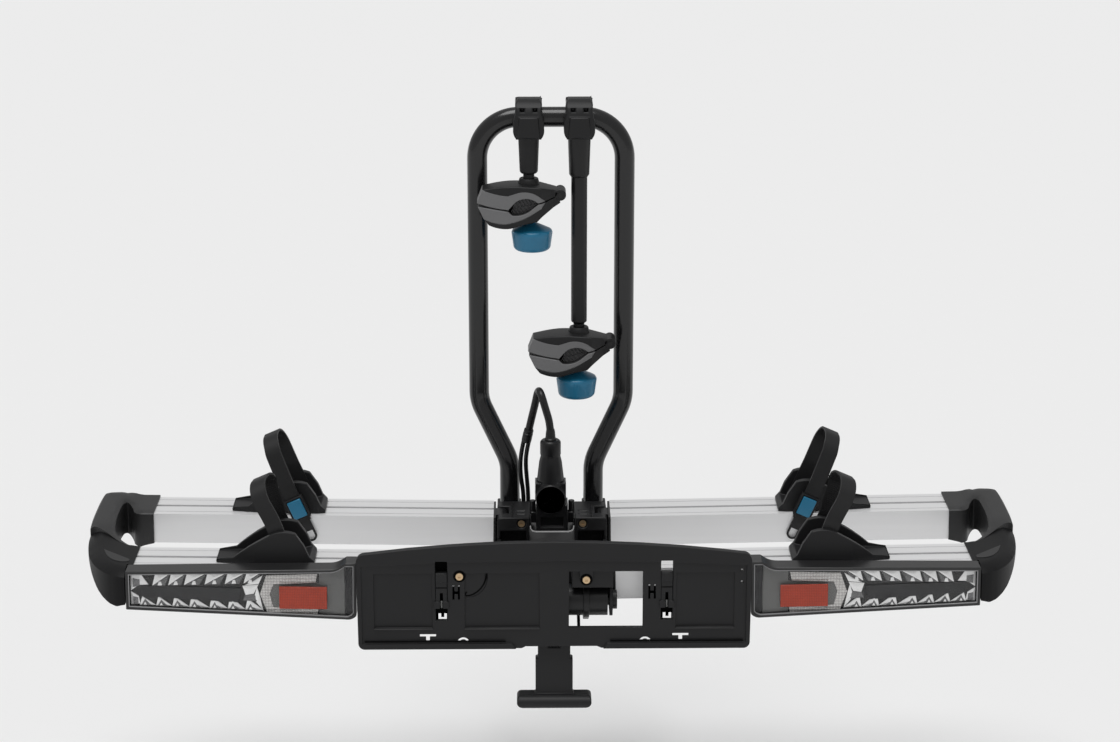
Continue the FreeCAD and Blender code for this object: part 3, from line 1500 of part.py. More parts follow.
def jaw(name, x, z, knob_x):
    """A clamp for a bicycle frame: an upper half on the arm and a lower half on a hinge pin."""
    deep = ("arm_y - jaw_half", "arm_y + jaw_half")
    face = ("arm_y - jaw_front", "arm_y + jaw_half")
    plan = [
        (f"{x} - 76", "arm_y - jaw_front + 8"),
        (f"{x} - 29", "arm_y - jaw_front"),
        (f"{x} + 18", "arm_y - jaw_front"),
        (f"{x} + 35", "arm_y - jaw_half"),
        (f"{x} + 60", "arm_y - jaw_half"),
        (f"{x} + 60", "arm_y + jaw_half"),
        (f"{x} - 29", "arm_y + jaw_half"),
        (f"{x} - 76", "arm_y + jaw_half - 7"),
    ]

    def form(label, points):
        bar = pad(f"{name}_{label}_bar", "XZ", at_jaw(points, x, z), face)
        return common(f"{name}_{label}", bar, pad(f"{name}_{label}_plan", "XY", plan, (f"{z} - 45", f"{z} + 45")))

    pivot = (f"{x} + jaw_pivot_x", f"{z} + jaw_pivot_z")
    knuckle = "jaw_half * 0.6"
    middle = (f"arm_y - {knuckle} - gap", f"arm_y + {knuckle} + gap")
    upper = form("upper_shell", UPPER_SHELL)
    collar = cone(name + "_collar", ("15.5", "12.5"), "z", (f"{z} + 22", f"{z} + 34"), (x, "arm_y"))
    lugs = rod(name + "_lugs", "8", "y", deep, pivot)
    solid = cut(
        name + "_upper_cut",
        join(name + "_upper_solid", upper, collar, lugs),
        rod(name + "_neck_bore", "8 + play", "z", (f"{z} + 28", f"{z} + 35"), (x, "arm_y")),
        rod(name + "_knuckle_space", "8 + gap", "y", middle, pivot),
        rod(name + "_pin_hole", "jaw_pivot_pin", "y", ("arm_y - jaw_half - 1", "arm_y + jaw_half + 1"), pivot),
    )
    pin = rod(name + "_hinge_pin", "jaw_pivot_pin", "y", deep, pivot)
    lining = form("upper_pad", UPPER_PAD)
    part(name + "_upper", group(name + "_upper", solid, lining, pin))

    lower = form("lower_shell", LOWER_SHELL)
    ring = rod(name + "_knuckle", "8", "y", (f"arm_y - {knuckle}", f"arm_y + {knuckle}"), pivot)
    aside = [
        rod(name + "_lug_space_a", "8 + gap", "y", (f"arm_y - jaw_half - 1", f"arm_y - {knuckle}"), pivot),
        rod(name + "_lug_space_b", "8 + gap", "y", (f"arm_y + {knuckle}", f"arm_y + jaw_half + 1"), pivot),
    ]
    lower = join(name + "_lower_join", cut(name + "_lower_aside", lower, *aside), ring)
    shaft = rod(name + "_knob_hole", "5 + play", "z", (f"{z} - 40", f"{z} - 22"), (f"{x} + {knob_x}", "arm_y"))
    lower = cut(
        name + "_lower_solid",
        lower,
        rod(name + "_knuckle_bore", "jaw_pivot_pin + play", "y", deep, pivot),
        shaft,
    )
    lining = form("lower_pad", LOWER_PAD)
    part(name + "_lower", group(name + "_lower", lower, lining))

    profile = [
        ("0", "-22.5"),
        ("5", "-22.5"),
        ("5", "-31"),
        ("9", "-32.5"),
        ("knob_radius - 1.5", "-41.5"),
        ("knob_radius", "-45"),
        ("knob_radius - 2.5", "-30 - knob_height * 0.82"),
        ("knob_radius - 4.5", "-30 - knob_height * 0.95", "arc"),
        ("knob_radius - 10", "-30.3 - knob_height"),
        ("0", "-30.3 - knob_height"),
    ]
    whole = turned(name + "_knob_turned", profile, f"{x} + {knob_x}", "arm_y", z)
    prism = DOCUMENT.addObject("Part::Prism", name + "_knob_grip")
    prism.Polygon = 8
    bind(prism, Circumradius="knob_radius + 1.2", Height="90")
    bind(prism, Placement__Base__x=f"{x} + {knob_x}", Placement__Base__y="arm_y", Placement__Base__z=f"{z} - 90")
    part(name + "_knob", common(name + "_knob", whole, prism))


# Plug, its holder and the cords


def plug():
    x, y = "plug_x", "plug_y"
    head_front = f"{y} - 22"
    body = turned(
        "plug_turned",
        [
            ("0", "0"),
            ("19", "0"),
            ("20.5", "14"),
            ("19.5", "26"),
            ("16.5", "52"),
            ("14", "62"),
            ("15", "63"),
            ("15", "82"),
            ("12.5", "85"),
            ("0", "85"),
        ],
        x,
        y,
        "plug_z",
    )
    barrel = rod("plug_barrel", "plug_radius", "y", (head_front, f"{y} + 17"), (x, "plug_z"))
    mouth = rod("plug_mouth", "plug_radius - 2", "y", (f"{head_front} - 1", f"{head_front} + 2"), (x, "plug_z"))
    shoulder = block("plug_shoulder", (f"{x} - 22.3", f"{x} + 22.3"), (f"{y} - 14", f"{y} + 15"), ("plug_z - 4", "plug_z + 22.3"))
    part("plug_body", cut("plug_body", join("plug_solid", body, barrel, shoulder), mouth))

    cradle = cut(
        "cradle_solid",
        block("cradle_box", ("-23", "23"), (f"{y} - 20", f"{y} + 16"), ("72", "plug_z - 9")),
        rod("cradle_seat", "plug_radius + 0.2", "y", (f"{y} - 30", f"{y} + 30"), (x, "plug_z")),
        block("cradle_front", ("-17", "17"), (f"{y} - 21", f"{y} - 14"), ("76", "92")),
    )
    posts = []
    for side, low, high in (("right", "22.5", "block_inner - 2.3"), ("left", "2.3 - block_inner", "-22.5")):
        posts.append(block(side + "_post_arm", (low, high), (f"{y} - 10", f"{y} + 2"), ("80", "96")))
        middle = f"({low} + {high}) / 2 {'+' if side == 'right' else '-'} 1.5"
        posts.append(rod(side + "_post", "4.5", "z", ("block_top", "113"), (middle, f"{y} - 4")))
    part("plug_holder", join("plug_holder", cradle, *posts))


def cords():
    top = number("plug_top")
    x = number("plug_x")
    y = number("plug_y")
    fold = [
        Vector(x, y, top),
        Vector(x, y, top + 22),
        Vector(x - 7, y + 1, top + 46),
        Vector(x - 13.5, y + 1, top + 69),
        Vector(x - 17.5, y + 24, top + 69),
        Vector(x - 22, y + 25, top + 46),
        Vector(x - 27, y + 27, top + 25),
        Vector(x - 31, y + 30, top + 6),
    ]
    cord("main_cord", fold, number("main_cord"))

    heading = (fold[-1] - fold[-2]).normalize()
    start = fold[-1]
    end = start + heading * 20
    sleeve = Part.makeCylinder(7.4, 20, start, heading)
    part("cord_splitter", feature("cord_splitter", sleeve))

    aside = Vector(1, 0, 0)
    aside = (aside - heading * aside.dot(heading)).normalize()
    floor = 80
    left = [
        end - aside * 3.7,
        end - aside * 3.7 + heading * 17,
        Vector(-46, y + 43, 152),
        Vector(-45, y + 52, 128),
        Vector(-41.2, y + 56.5, 103),
        Vector(-41.2, y + 56.5, floor),
    ]
    right = [
        end + aside * 3.7,
        end + aside * 3.7 + heading * 17,
        Vector(-38, y + 43, 153),
        Vector(-36.5, y + 52, 129),
        Vector(-34.4, y + 56.5, 103),
        Vector(-34.4, y + 56.5, floor),
    ]
    cord("thin_cord_left", left, number("thin_cord"))
    cord("thin_cord_right", right, number("thin_cord"))


def build():
    chassis()
    coupler()
    pedal()
    centre_frame()
    hinge_blocks()
    centre_tray()
    hoop()
    platform_screws()
    plate_holder()
    plate_clip("left")
    plate_clip("right")
    wings()
    wheel_holders()
    arms()
    jaw("short_jaw", "short_arm", "short_jaw_z", "short_knob_x")
    jaw("long_jaw", "long_arm", "long_jaw_z", "long_knob_x")
    plug()
    cords()


def export():
    """Checks every object and writes each node's shape."""
    DOCUMENT.recompute()
    for item in DOCUMENT.Objects:
        if "Invalid" in item.State or "Error" in item.State:
            raise SystemExit(f"{item.Name} failed: {item.State}")
    for node, item in NODES.items():
        if item.Shape.isNull() or not item.Shape.isValid() or not item.Shape.Solids:
            raise SystemExit(f"{node} has no valid solid")
    os.makedirs("parts", exist_ok=True)
    for node, item in NODES.items():
        item.Shape.exportStep(f"parts/{node}.step")
    print(len(NODES), "nodes")


build()
export()
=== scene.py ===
"""A towbar bike rack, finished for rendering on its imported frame.

Everything is in metres in the frame of the part: X to the right, Y towards the car, Z up, and the origin at
the centre of the towball. The moulded and metal parts come from the frame and get their finish here. The
end caps, lamp optics, details of the number-plate holder, frame jaws, cords and straps are built here, in
millimetres, each on the body that carries it.
"""
import json
import math

import bmesh
import bpy
from mathutils import Matrix, Vector

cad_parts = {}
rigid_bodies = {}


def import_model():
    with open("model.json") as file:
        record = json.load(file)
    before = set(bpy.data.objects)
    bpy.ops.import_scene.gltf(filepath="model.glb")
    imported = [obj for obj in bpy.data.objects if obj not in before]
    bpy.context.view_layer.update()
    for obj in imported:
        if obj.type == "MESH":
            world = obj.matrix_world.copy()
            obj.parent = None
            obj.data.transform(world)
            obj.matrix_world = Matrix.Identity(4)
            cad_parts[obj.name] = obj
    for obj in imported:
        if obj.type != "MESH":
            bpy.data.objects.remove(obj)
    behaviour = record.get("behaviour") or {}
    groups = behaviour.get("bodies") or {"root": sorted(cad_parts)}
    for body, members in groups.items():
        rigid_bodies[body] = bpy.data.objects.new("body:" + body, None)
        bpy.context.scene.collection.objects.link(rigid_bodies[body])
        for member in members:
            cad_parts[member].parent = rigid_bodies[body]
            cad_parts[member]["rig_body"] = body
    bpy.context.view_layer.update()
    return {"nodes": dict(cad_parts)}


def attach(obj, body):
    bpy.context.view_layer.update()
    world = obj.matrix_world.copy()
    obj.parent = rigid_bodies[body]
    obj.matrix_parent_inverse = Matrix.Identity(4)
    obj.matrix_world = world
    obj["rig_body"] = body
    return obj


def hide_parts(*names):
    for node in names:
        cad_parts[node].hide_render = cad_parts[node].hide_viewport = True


bl_info = {
    "name": "Towbar Bike Rack",
    "version": (1, 0, 0),
    "blender": (4, 5, 0),
    "location": "View3D > Sidebar > Bike Rack",
    "description": "Finishes a towbar bike rack on its packed frame",
    "category": "Object",
}

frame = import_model()

MM = 0.001
SIDES = {"right": 1, "left": -1}
ROWS = ("rear", "front")
ACROSS = Vector((1, 0, 0))

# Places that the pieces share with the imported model, in millimetres and degrees
RAIL_TOP = 93.5
REAR_RAIL = -192
FRONT_RAIL = -404
RAIL_HALF = 36.5
RAIL_END = 598
ROW_MIDDLE = (REAR_RAIL + FRONT_RAIL) / 2
HINGE = (72, 83)
WING_RISE = 0.9
HOLDER_X = 362
STRAP_LEAN = 24.5
TRAY_HALF = 30
ARM_Y = -146
JAWS = {"short": (-32, 543.5), "long": (40, 323.5)}
LAMP_FACE = -470
PLUG = (-2, -205, 204)


# Sizes and colours that a user would change


def colour_property(name, description, default):
    """A colour that the user can change."""
    return bpy.props.FloatVectorProperty(name=name, description=description, default=default, subtype="COLOR",
                                         size=3, min=0, max=1)


class RackFinishes(bpy.types.PropertyGroup):
    """Colours of the rack"""
    plastic: colour_property("Moulded black", "Colour of the black mouldings", (0.0095, 0.0095, 0.0102))
    housing: colour_property("Lamp housing", "Colour of the lamp housings", (0.014, 0.014, 0.0145))
    paint: colour_property("Black paint", "Colour of the painted steel", (0.006, 0.006, 0.0065))
    aluminium: colour_property("Aluminium", "Colour of the anodised rails", (0.8, 0.8, 0.805))
    knob: colour_property("Blue", "Colour of the knobs and strap buttons", (0.012, 0.16, 0.29))
    lining: colour_property("Jaw lining", "Colour of the grey jaw linings", (0.155, 0.155, 0.158))
    reflector: colour_property("Reflector", "Colour of the rear reflectors", (0.5, 0.05, 0.018))


class RackSizes(bpy.types.PropertyGroup):
    """Sizes of the fine details"""
    rib_pitch: bpy.props.FloatProperty(
        name="Strap rib pitch", description="Distance between two ribs of a strap",
        default=2.9 * MM, min=0.002, max=0.006, unit="LENGTH")
    rib_depth: bpy.props.FloatProperty(
        name="Strap rib depth", description="Depth of the grooves between the ribs",
        default=0.7 * MM, min=0, max=0.001, unit="LENGTH")
    lining_ribs: bpy.props.IntProperty(
        name="Lining ribs", description="Ribs across the mouth of a jaw lining", default=9, min=3, max=16)


class RackStage(bpy.types.PropertyGroup):
    """Camera, light and backdrop"""
    focal_length: bpy.props.FloatProperty(
        name="Focal length", description="Lens of the camera in millimetres", default=85.18, min=20, max=200)
    floor_tone: bpy.props.FloatProperty(
        name="Floor tone", description="Brightness of the floor's colour", default=0.885, min=0, max=1)
    sky: bpy.props.FloatProperty(
        name="Sky strength", description="Strength of the even light from all round", default=0.34, min=0, max=2)
    backdrop: bpy.props.FloatProperty(
        name="Backdrop", description="Brightness of the backdrop as glossy and clear parts see it",
        default=0.5, min=0, max=1)
    sun: bpy.props.FloatProperty(
        name="Overhead strength", description="Strength of the soft light from above", default=2.0, min=0, max=10)


# Materials


FINE_BUMP = 0.0004
PRISM_BUMP = 0.0015
GLOSS_DRIFT = 0.07


def add_node(tree, kind, values=None):
    """A new shader node with the given values at its inputs."""
    made = tree.nodes.new("ShaderNode" + kind)
    for name, value in (values or {}).items():
        made.inputs[name].default_value = value
    return made


def finish(name, colour, roughness=0.5, metallic=0.0, tone=0.12, drift=14, grain=900, depth=0.1,
           streaks=(1, 1, 1), coat=0.0, specular=0.5):
    """A surface whose tone drifts slowly and whose fine grain shows in its bump and its gloss."""
    material = bpy.data.materials.new(name)
    material.use_nodes = True
    tree = material.node_tree
    link = tree.links.new
    shader = tree.nodes["Principled BSDF"]
    place = add_node(tree, "TexCoord")
    stretch = add_node(tree, "Mapping", {"Scale": streaks})
    slow = add_node(tree, "TexNoise", {"Scale": drift, "Detail": 4})
    fine = add_node(tree, "TexNoise", {"Scale": grain, "Detail": 2})
    link(place.outputs["Object"], stretch.inputs["Vector"])
    link(stretch.outputs["Vector"], slow.inputs["Vector"])
    link(stretch.outputs["Vector"], fine.inputs["Vector"])

    tint = add_node(tree, "Mix")
    tint.data_type = "RGBA"
    tint.inputs["A"].default_value = (*[part * (1 - tone) for part in colour], 1)
    tint.inputs["B"].default_value = (*[min(1, part * (1 + tone)) for part in colour], 1)
    link(slow.outputs["Fac"], tint.inputs["Factor"])
    link(tint.outputs["Result"], shader.inputs["Base Color"])

    gloss = add_node(tree, "MapRange", {"To Min": max(0.03, roughness - GLOSS_DRIFT),
                                        "To Max": min(1, roughness + GLOSS_DRIFT)})
    link(fine.outputs["Fac"], gloss.inputs["Value"])
    link(gloss.outputs["Result"], shader.inputs["Roughness"])

    bump = add_node(tree, "Bump", {"Strength": depth, "Distance": FINE_BUMP})
    link(fine.outputs["Fac"], bump.inputs["Height"])
    link(bump.outputs["Normal"], shader.inputs["Normal"])

    for name, value in (("Metallic", metallic), ("Coat Weight", coat), ("Coat Roughness", 0.12),
                        ("Specular IOR Level", specular)):
        shader.inputs[name].default_value = value
    return material


def prism_finish(name, colour, scale, metallic, roughness, depth):
    """A pressed pattern of small prisms, as inside a reflector or behind a clear cover."""
    material = finish(name, colour, roughness=roughness, metallic=metallic, tone=0.2, drift=60, depth=0)
    tree = material.node_tree
    link = tree.links.new
    shader = tree.nodes["Principled BSDF"]
    place = next(node for node in tree.nodes if node.type == "TEX_COORD")
    tint = next(node for node in tree.nodes if node.type == "MIX")
    cells = add_node(tree, "TexVoronoi", {"Scale": scale, "Randomness": 0.12})
    link(place.outputs["Object"], cells.inputs["Vector"])
    bump = add_node(tree, "Bump", {"Strength": depth, "Distance": PRISM_BUMP})
    link(cells.outputs["Distance"], bump.inputs["Height"])
    link(bump.outputs["Normal"], shader.inputs["Normal"])
    ramp = add_node(tree, "ValToRGB")
    ramp.color_ramp.elements[0].color = (1, 1, 1, 1)
    ramp.color_ramp.elements[1].position = 0.6
    ramp.color_ramp.elements[1].color = (0.42, 0.42, 0.42, 1)
    shade = add_node(tree, "Mix")
    shade.data_type = "RGBA"
    shade.blend_type = "MULTIPLY"
    shade.inputs["Factor"].default_value = 0.75
    link(cells.outputs["Distance"], ramp.inputs["Fac"])
    link(tint.outputs["Result"], shade.inputs["A"])
    link(ramp.outputs["Color"], shade.inputs["B"])
    link(shade.outputs["Result"], shader.inputs["Base Color"])
    return material


def cover_finish(name, colour, alpha):
    """Thin clear plastic that shows what lies behind it."""
    material = finish(name, colour, roughness=0.06, tone=0.03, depth=0.01, specular=0.8)
    material.node_tree.nodes["Principled BSDF"].inputs["Alpha"].default_value = alpha
    return material


def make_finishes():
    """The finishes of the rack, by look."""
    rack = bpy.context.scene.rack_finishes
    return {
        "plastic": finish("moulded_black", rack.plastic, roughness=0.48, grain=1400, depth=0.12, specular=0.3),
        # Lighter copy of the moulded black, as painted highlight on the tops of the caps' crowns and ledges and of the
        # plate's beads
        "crown": finish("cap_black_painted_highlight", (0.019, 0.019, 0.0195), roughness=0.46, grain=1400, depth=0.12, specular=0.36),
        # Darker copy of the moulded black, as painted shade on the caps' front lobes
        "cap_shade": finish("cap_front_painted_shade", (0.0052, 0.0052, 0.0056), roughness=0.5, grain=1400, depth=0.12,
                            specular=0.16),
        "shadow": finish("shaded_black", (0.002, 0.002, 0.002), roughness=0.7, grain=900, depth=0.02, specular=0.04),
        "glossy_plastic": finish("smooth_black", rack.plastic, roughness=0.32, grain=700, depth=0.05, specular=0.3),
        "housing": finish("lamp_housing_black", rack.housing, roughness=0.36, grain=900, depth=0.06),
        "paint": finish("powder_paint", rack.paint, roughness=0.24, grain=420, depth=0.04, coat=0.3, specular=0.35),
        "satin_paint": finish("satin_paint", rack.paint, roughness=0.36, grain=520, depth=0.06, specular=0.35),
        "aluminium": finish("brushed_aluminium", rack.aluminium, roughness=0.34, metallic=0.3, tone=0.035,
                            drift=5, grain=60, depth=0.08, streaks=(0.4, 22, 22)),
        "lining": finish("grey_lining", rack.lining, roughness=0.6, grain=1600, depth=0.2),
        # Darker copy of the grey lining, as painted shade on its faces inside a jaw's mouth
        "lining_shaded": finish("lining_painted_shade", (0.03, 0.03, 0.031), roughness=0.7, grain=1200, depth=0.2),
        "blue": finish("blue_moulding", rack.knob, roughness=0.34, tone=0.09, grain=1100, depth=0.05),
        "rubber": finish("cord_rubber", (0.009, 0.009, 0.0095), roughness=0.36, grain=1500, depth=0.08, specular=0.35),
        "strap": finish("strap_rubber", (0.012, 0.012, 0.0125), roughness=0.5, grain=1300, depth=0.15, specular=0.3),
        "steel": finish("zinc_steel", (0.5, 0.5, 0.51), roughness=0.3, metallic=0.9, grain=500, depth=0.05),
        "brass": finish("yellow_zinc", (0.62, 0.45, 0.27), roughness=0.32, metallic=0.75, grain=600, depth=0.05),
        # Near-white chrome, as painted highlight in the lamps' teeth and along the tray's edge
        "painted_highlight": finish("chrome_painted_highlight", (0.93, 0.93, 0.93), roughness=0.2, metallic=0.3, tone=0.04,
                         grain=300, depth=0.01),
        # Darker chrome, as painted shade in the facets between the lamps' teeth
        "painted_shade_chrome": finish("shaded_chrome", (0.16, 0.16, 0.163), roughness=0.24, metallic=0.3, tone=0.35,
                              drift=160, grain=300, depth=0.02),
        "graphite": finish("graphite_panel", (0.03, 0.03, 0.0315), roughness=0.34, tone=0.3, drift=30,
                           grain=800, depth=0.03, specular=0.3),
        "smoke": finish("smoked_panel", (0.15, 0.152, 0.148), roughness=0.3, tone=0.1, grain=900, depth=0.03),
        "prisms": prism_finish("clear_prisms", (0.85, 0.82, 0.8), 250, 0.3, 0.2, 1.0),
        "reflector": prism_finish("red_prisms", rack.reflector, 420, 0.0, 0.22, 0.5),
        "backing": finish("lamp_backing", (0.012, 0.012, 0.0125), roughness=0.3, tone=0.4, drift=90, depth=0.02),
        # Light grey, as a painted highlight along the rim of each lamp's window
        "rim_highlight": finish("window_rim_highlight", (0.3, 0.3, 0.305), roughness=0.3, depth=0.02),
        "cover": cover_finish("clear_cover", (0.3, 0.3, 0.3), 0.03),
    }


# The material of each look, filled by make_finishes
FINISHES = {}


# Pieces


def piece(name, mesh, body, look, *nodes):
    """A finished piece on its body, standing for the given nodes of the frame."""
    item = bpy.data.objects.new(name, mesh)
    bpy.context.scene.collection.objects.link(item)
    mesh.materials.clear()
    mesh.materials.append(FINISHES[look])
    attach(item, body)
    if nodes:
        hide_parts(*nodes)
    return item


def as_mesh(bm, name, smooth=35):
    """The mesh of a bmesh in millimetres, in metres, with faces outwards and only its sharp edges sharp."""
    bmesh.ops.transform(bm, matrix=Matrix.Scale(MM, 4), verts=bm.verts)
    bmesh.ops.recalc_face_normals(bm, faces=bm.faces)
    mesh = bpy.data.meshes.new(name)
    bm.to_mesh(mesh)
    bm.free()
    mesh.shade_smooth()
    mesh.set_sharp_from_angle(angle=math.radians(smooth))
    return mesh


def rounded(item, width, angle=30):
    """Rounds the sharp edges of a piece."""
    bevel = item.modifiers.new("Rounded edges", "BEVEL")
    bevel.width = width
    bevel.segments = 2
    bevel.limit_method = "ANGLE"
    bevel.angle_limit = math.radians(angle)
    bevel.harden_normals = False
    return item


def flip(bm, axis):
    """Mirrors a bmesh through the plane across an axis, at zero."""
    scale = [1, 1, 1]
    scale[axis] = -1
    bmesh.ops.transform(bm, matrix=Matrix.Diagonal((*scale, 1)), verts=bm.verts)
    bmesh.ops.reverse_faces(bm, faces=bm.faces)


def grow(bm, parts, step):
    """Extrudes faces by a step, and returns the new faces and corners."""
    grown = bmesh.ops.extrude_face_region(bm, geom=parts)["geom"]
    corners = [part for part in grown if isinstance(part, bmesh.types.BMVert)]
    bmesh.ops.translate(bm, vec=step, verts=corners)
    return [part for part in grown if isinstance(part, bmesh.types.BMFace)], corners


def plate(bm, outline, low, high):
    """A flat piece between two depths along Y, from an outline in X and Z."""
    face = bm.faces.new([bm.verts.new((x, low, z)) for x, z in outline])
    return grow(bm, [face], (0, high - low, 0))[1]


def outline(points, steps=8):
    """An outline in which a point marked "arc" is the middle of a round stretch between its neighbours."""
    line = []
    for number, (x, z, *kind) in enumerate(points):
        if not kind:
            line.append((x, z))
            continue
        ax, az = points[number - 1][:2]
        bx, bz = points[(number + 1) % len(points)][:2]
        across = 2 * (ax * (z - bz) + x * (bz - az) + bx * (az - z))
        ends = [p * p + q * q for p, q in ((ax, az), (x, z), (bx, bz))]
        cx = (ends[0] * (z - bz) + ends[1] * (bz - az) + ends[2] * (az - z)) / across
        cz = (ends[0] * (bx - x) + ends[1] * (ax - bx) + ends[2] * (x - ax)) / across
        radius = math.hypot(x - cx, z - cz)
        first, middle, last = (math.atan2(q - cz, p - cx) for p, q in ((ax, az), (x, z), (bx, bz)))
        half = (middle - first + math.pi) % math.tau - math.pi
        rest = (last - middle + math.pi) % math.tau - math.pi
        for step in range(1, steps):
            angle = first + (half + rest) * step / steps
            line.append((cx + radius * math.cos(angle), cz + radius * math.sin(angle)))
    return line


def divide(bm, axis, place):
    """Cuts all faces along the plane across an axis."""
    ahead = [int(number == axis) for number in range(3)]
    bmesh.ops.bisect_plane(bm, geom=[*bm.verts, *bm.edges, *bm.faces], plane_co=[place * part for part in ahead],
                           plane_no=ahead)


def block(bm, low, high):
    """A box between two corners."""
    made = bmesh.ops.create_cube(bm, size=1)
    size = Vector(high) - Vector(low)
    bmesh.ops.scale(bm, vec=size, verts=made["verts"])
    bmesh.ops.translate(bm, vec=(Vector(low) + Vector(high)) / 2, verts=made["verts"])
    return made["verts"]


SHARP_ANGLE = 32


def softened(node, look, width):
    """The merged copy of a node with rounded edges, which stands for it."""
    source = frame["nodes"][node]
    bm = bmesh.new()
    bm.from_mesh(source.data)
    bmesh.ops.remove_doubles(bm, verts=bm.verts, dist=2e-6)
    bmesh.ops.dissolve_limit(bm, angle_limit=math.radians(1.0), use_dissolve_boundaries=False,
                             verts=bm.verts, edges=bm.edges)
    mesh = bpy.data.meshes.new(node + "_finished")
    bm.to_mesh(mesh)
    bm.free()
    mesh.shade_smooth()
    mesh.set_sharp_from_angle(angle=math.radians(SHARP_ANGLE))
    item = piece(node + "_finished", mesh, source["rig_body"], look, node)
    rounded(item, width * MM, SHARP_ANGLE).modifiers[-1].use_clamp_overlap = False


# The moulded and metal parts


# The looks of the frame's nodes by the end of their names, where they aren't moulded black
LOOKS = {
    "satin_paint": ("chassis_beam", "coupler_head", "tilt_axle", "base_pins", "clamp_lever", "clamp_jaw",
                    "centre_tray", "arm_tube"),
    "paint": ("frame_hoop",),
    "brass": ("platform_screws",),
    "steel": ("fold_pins", "latch_hook"),
    "glossy_plastic": ("plug_holder", "plug_body"),
    "rubber": ("main_cord", "cord_splitter", "thin_cord_left", "thin_cord_right"),
    "aluminium": ("rails",),
    "housing": ("lamp_housing",),
    "cover": ("lamp_lens",),
    "reflector": ("lamp_reflector",),
    "strap": ("strap",),
    "blue": ("knob", "button"),
}
# The parts with rounded edges by the end of their names, under the width in millimetres
SOFT = {
    0.4: ("lamp_reflector",),
    0.5: ("plate_clip",),
    0.7: ("plate_holder", "centre_frame"),
    0.8: ("buckle", "coupler_head", "clamp_lever"),
    0.9: ("button", "plug_holder"),
    1.0: ("rear_tray", "front_tray", "plug_body", "arm_tube", "chassis_beam"),
    1.2: ("lamp_housing", "jaw_knob", "arm_rod"),
    1.4: ("hinge_block",),
    1.6: ("tilt_pedal",),
    1.8: ("arm_clamp",),
}
LUG_REACH = 85.6


def find_by_end(table, name, default):
    """The key of a table of name endings that a name falls under."""
    return next((key for key, ends in table.items() if name.endswith(ends)), default)


class RACK_OT_finish_parts(bpy.types.Operator):
    """Gives each moulded and metal part its finish and its rounded edges"""
    bl_idname = "rack.finish_parts"
    bl_label = "Finish the parts"

    def execute(self, context):
        FINISHES.update(make_finishes())
        for name, item in list(frame["nodes"].items()):
            look = find_by_end(LOOKS, name, "plastic")
            item.data.materials.clear()
            item.data.materials.append(FINISHES[look])
            if name.endswith("rails"):
                item.data.materials.append(FINISHES["satin_paint"])
                for face in item.data.polygons:
                    face.material_index = int(abs(face.center.x) < LUG_REACH * MM)
            width = find_by_end(SOFT, name, 0)
            if width:
                softened(name, look, width)
        return {"FINISHED"}


# End caps


CAP_START = 576
CROWN = [(576, -152.9, "corner"), (620, -152.9), (640, -154.2), (650, -157.2), (655, -165), (656.8, -200),
         (656.8, -240), (656.2, -275), (654.3, -311, "corner"), (645, -311), (634.5, -321), (618, -340),
         (602, -358.5), (590, -368.6), (576, -369.4, "corner"), (576, -364.9, "corner"), (590, -361.5),
         (602, -347), (612, -330), (619, -313), (622, -290), (624, -258), (624, -222), (622.5, -203),
         (618.5, -194), (613.5, -199), (608, -212), (604, -225), (595, -231.3), (576, -231.3, "corner")]
LOBE = [(654.2, -311.6, "corner"), (652.8, -335), (649.5, -362), (645, -385), (637.5, -410), (626, -434),
        (613, -452), (600, -463), (590, -468), (584.2, -469.3, "corner"), (584.2, -440.5, "corner"),
        (576, -440.5, "corner"), (576, -369.8, "corner"), (590, -369), (602.3, -359.1), (618.3, -340.6),
        (634.8, -321.6), (645, -311.6)]
LEDGE = [(624, -384.5, "corner"), (602, -405), (583, -423, "corner"), (583, -431, "corner"), (595, -431.2),
         (606, -424.7), (616, -409)]
CAP_UNDER = [(576, 49.3), (590, 46), (596, 43.4), (607, 45), (618, 50), (627, 56), (635, 65), (641.5, 74),
             (647, 82), (660, 92)]
CAP_WALL = 2.3
CAP_TOP = 96
FLOW_STEPS = 4
CAP_INSETS = (0.9, 1.5)
CAP_CUTS = ((0, range(582, 657, 6)), (1, range(-464, -158, 9)))
CAP_LAMP_END = 584.2
LEDGE_BASE = 95.8


def flowing(points):
    """A smooth closed line through its points, with corners where they are marked."""
    line = []
    count = len(points)
    for number, point in enumerate(points):
        onward = points[(number + 1) % count]
        start, end = Vector(point[:2]), Vector(onward[:2])
        before, after = Vector(points[number - 1][:2]), Vector(points[(number + 2) % count][:2])
        leave = end - start if len(point) > 2 else (end - before) / 2
        arrive = end - start if len(onward) > 2 else (after - start) / 2
        for step in range(FLOW_STEPS):
            t = step / FLOW_STEPS
            line.append(tuple(start * (2 * t ** 3 - 3 * t ** 2 + 1) + leave * (t ** 3 - 2 * t ** 2 + t)
                              + end * (3 * t ** 2 - 2 * t ** 3) + arrive * (t ** 3 - t ** 2)))
    return line


def stretch(line, first, last):
    """The part of a smooth line between two of its points."""
    return line[FLOW_STEPS * first:FLOW_STEPS * last + 1]


def reach_of(x, y, path):
    """The distance from a place to a line of corners."""
    spot = Vector((x, y))
    best = math.inf
    for a, b in zip(path, path[1:]):
        a, b = Vector(a), Vector(b)
        along = b - a
        share = min(1, max(0, (spot - a).dot(along) / max(along.length_squared, 1e-9)))
        best = min(best, (a + along * share - spot).length)
    return best


def between(x, steps):
    """The value at a place, read off a line of (place, value) steps."""
    for (a, low), (b, high) in zip(steps, steps[1:]):
        if x <= b:
            return low + (high - low) * max(0, x - a) / (b - a)
    return steps[-1][1]


def eased(share):
    """A share from 0 to 1 that starts and ends softly."""
    share = min(1, max(0, share))
    return share * share * (3 - 2 * share)


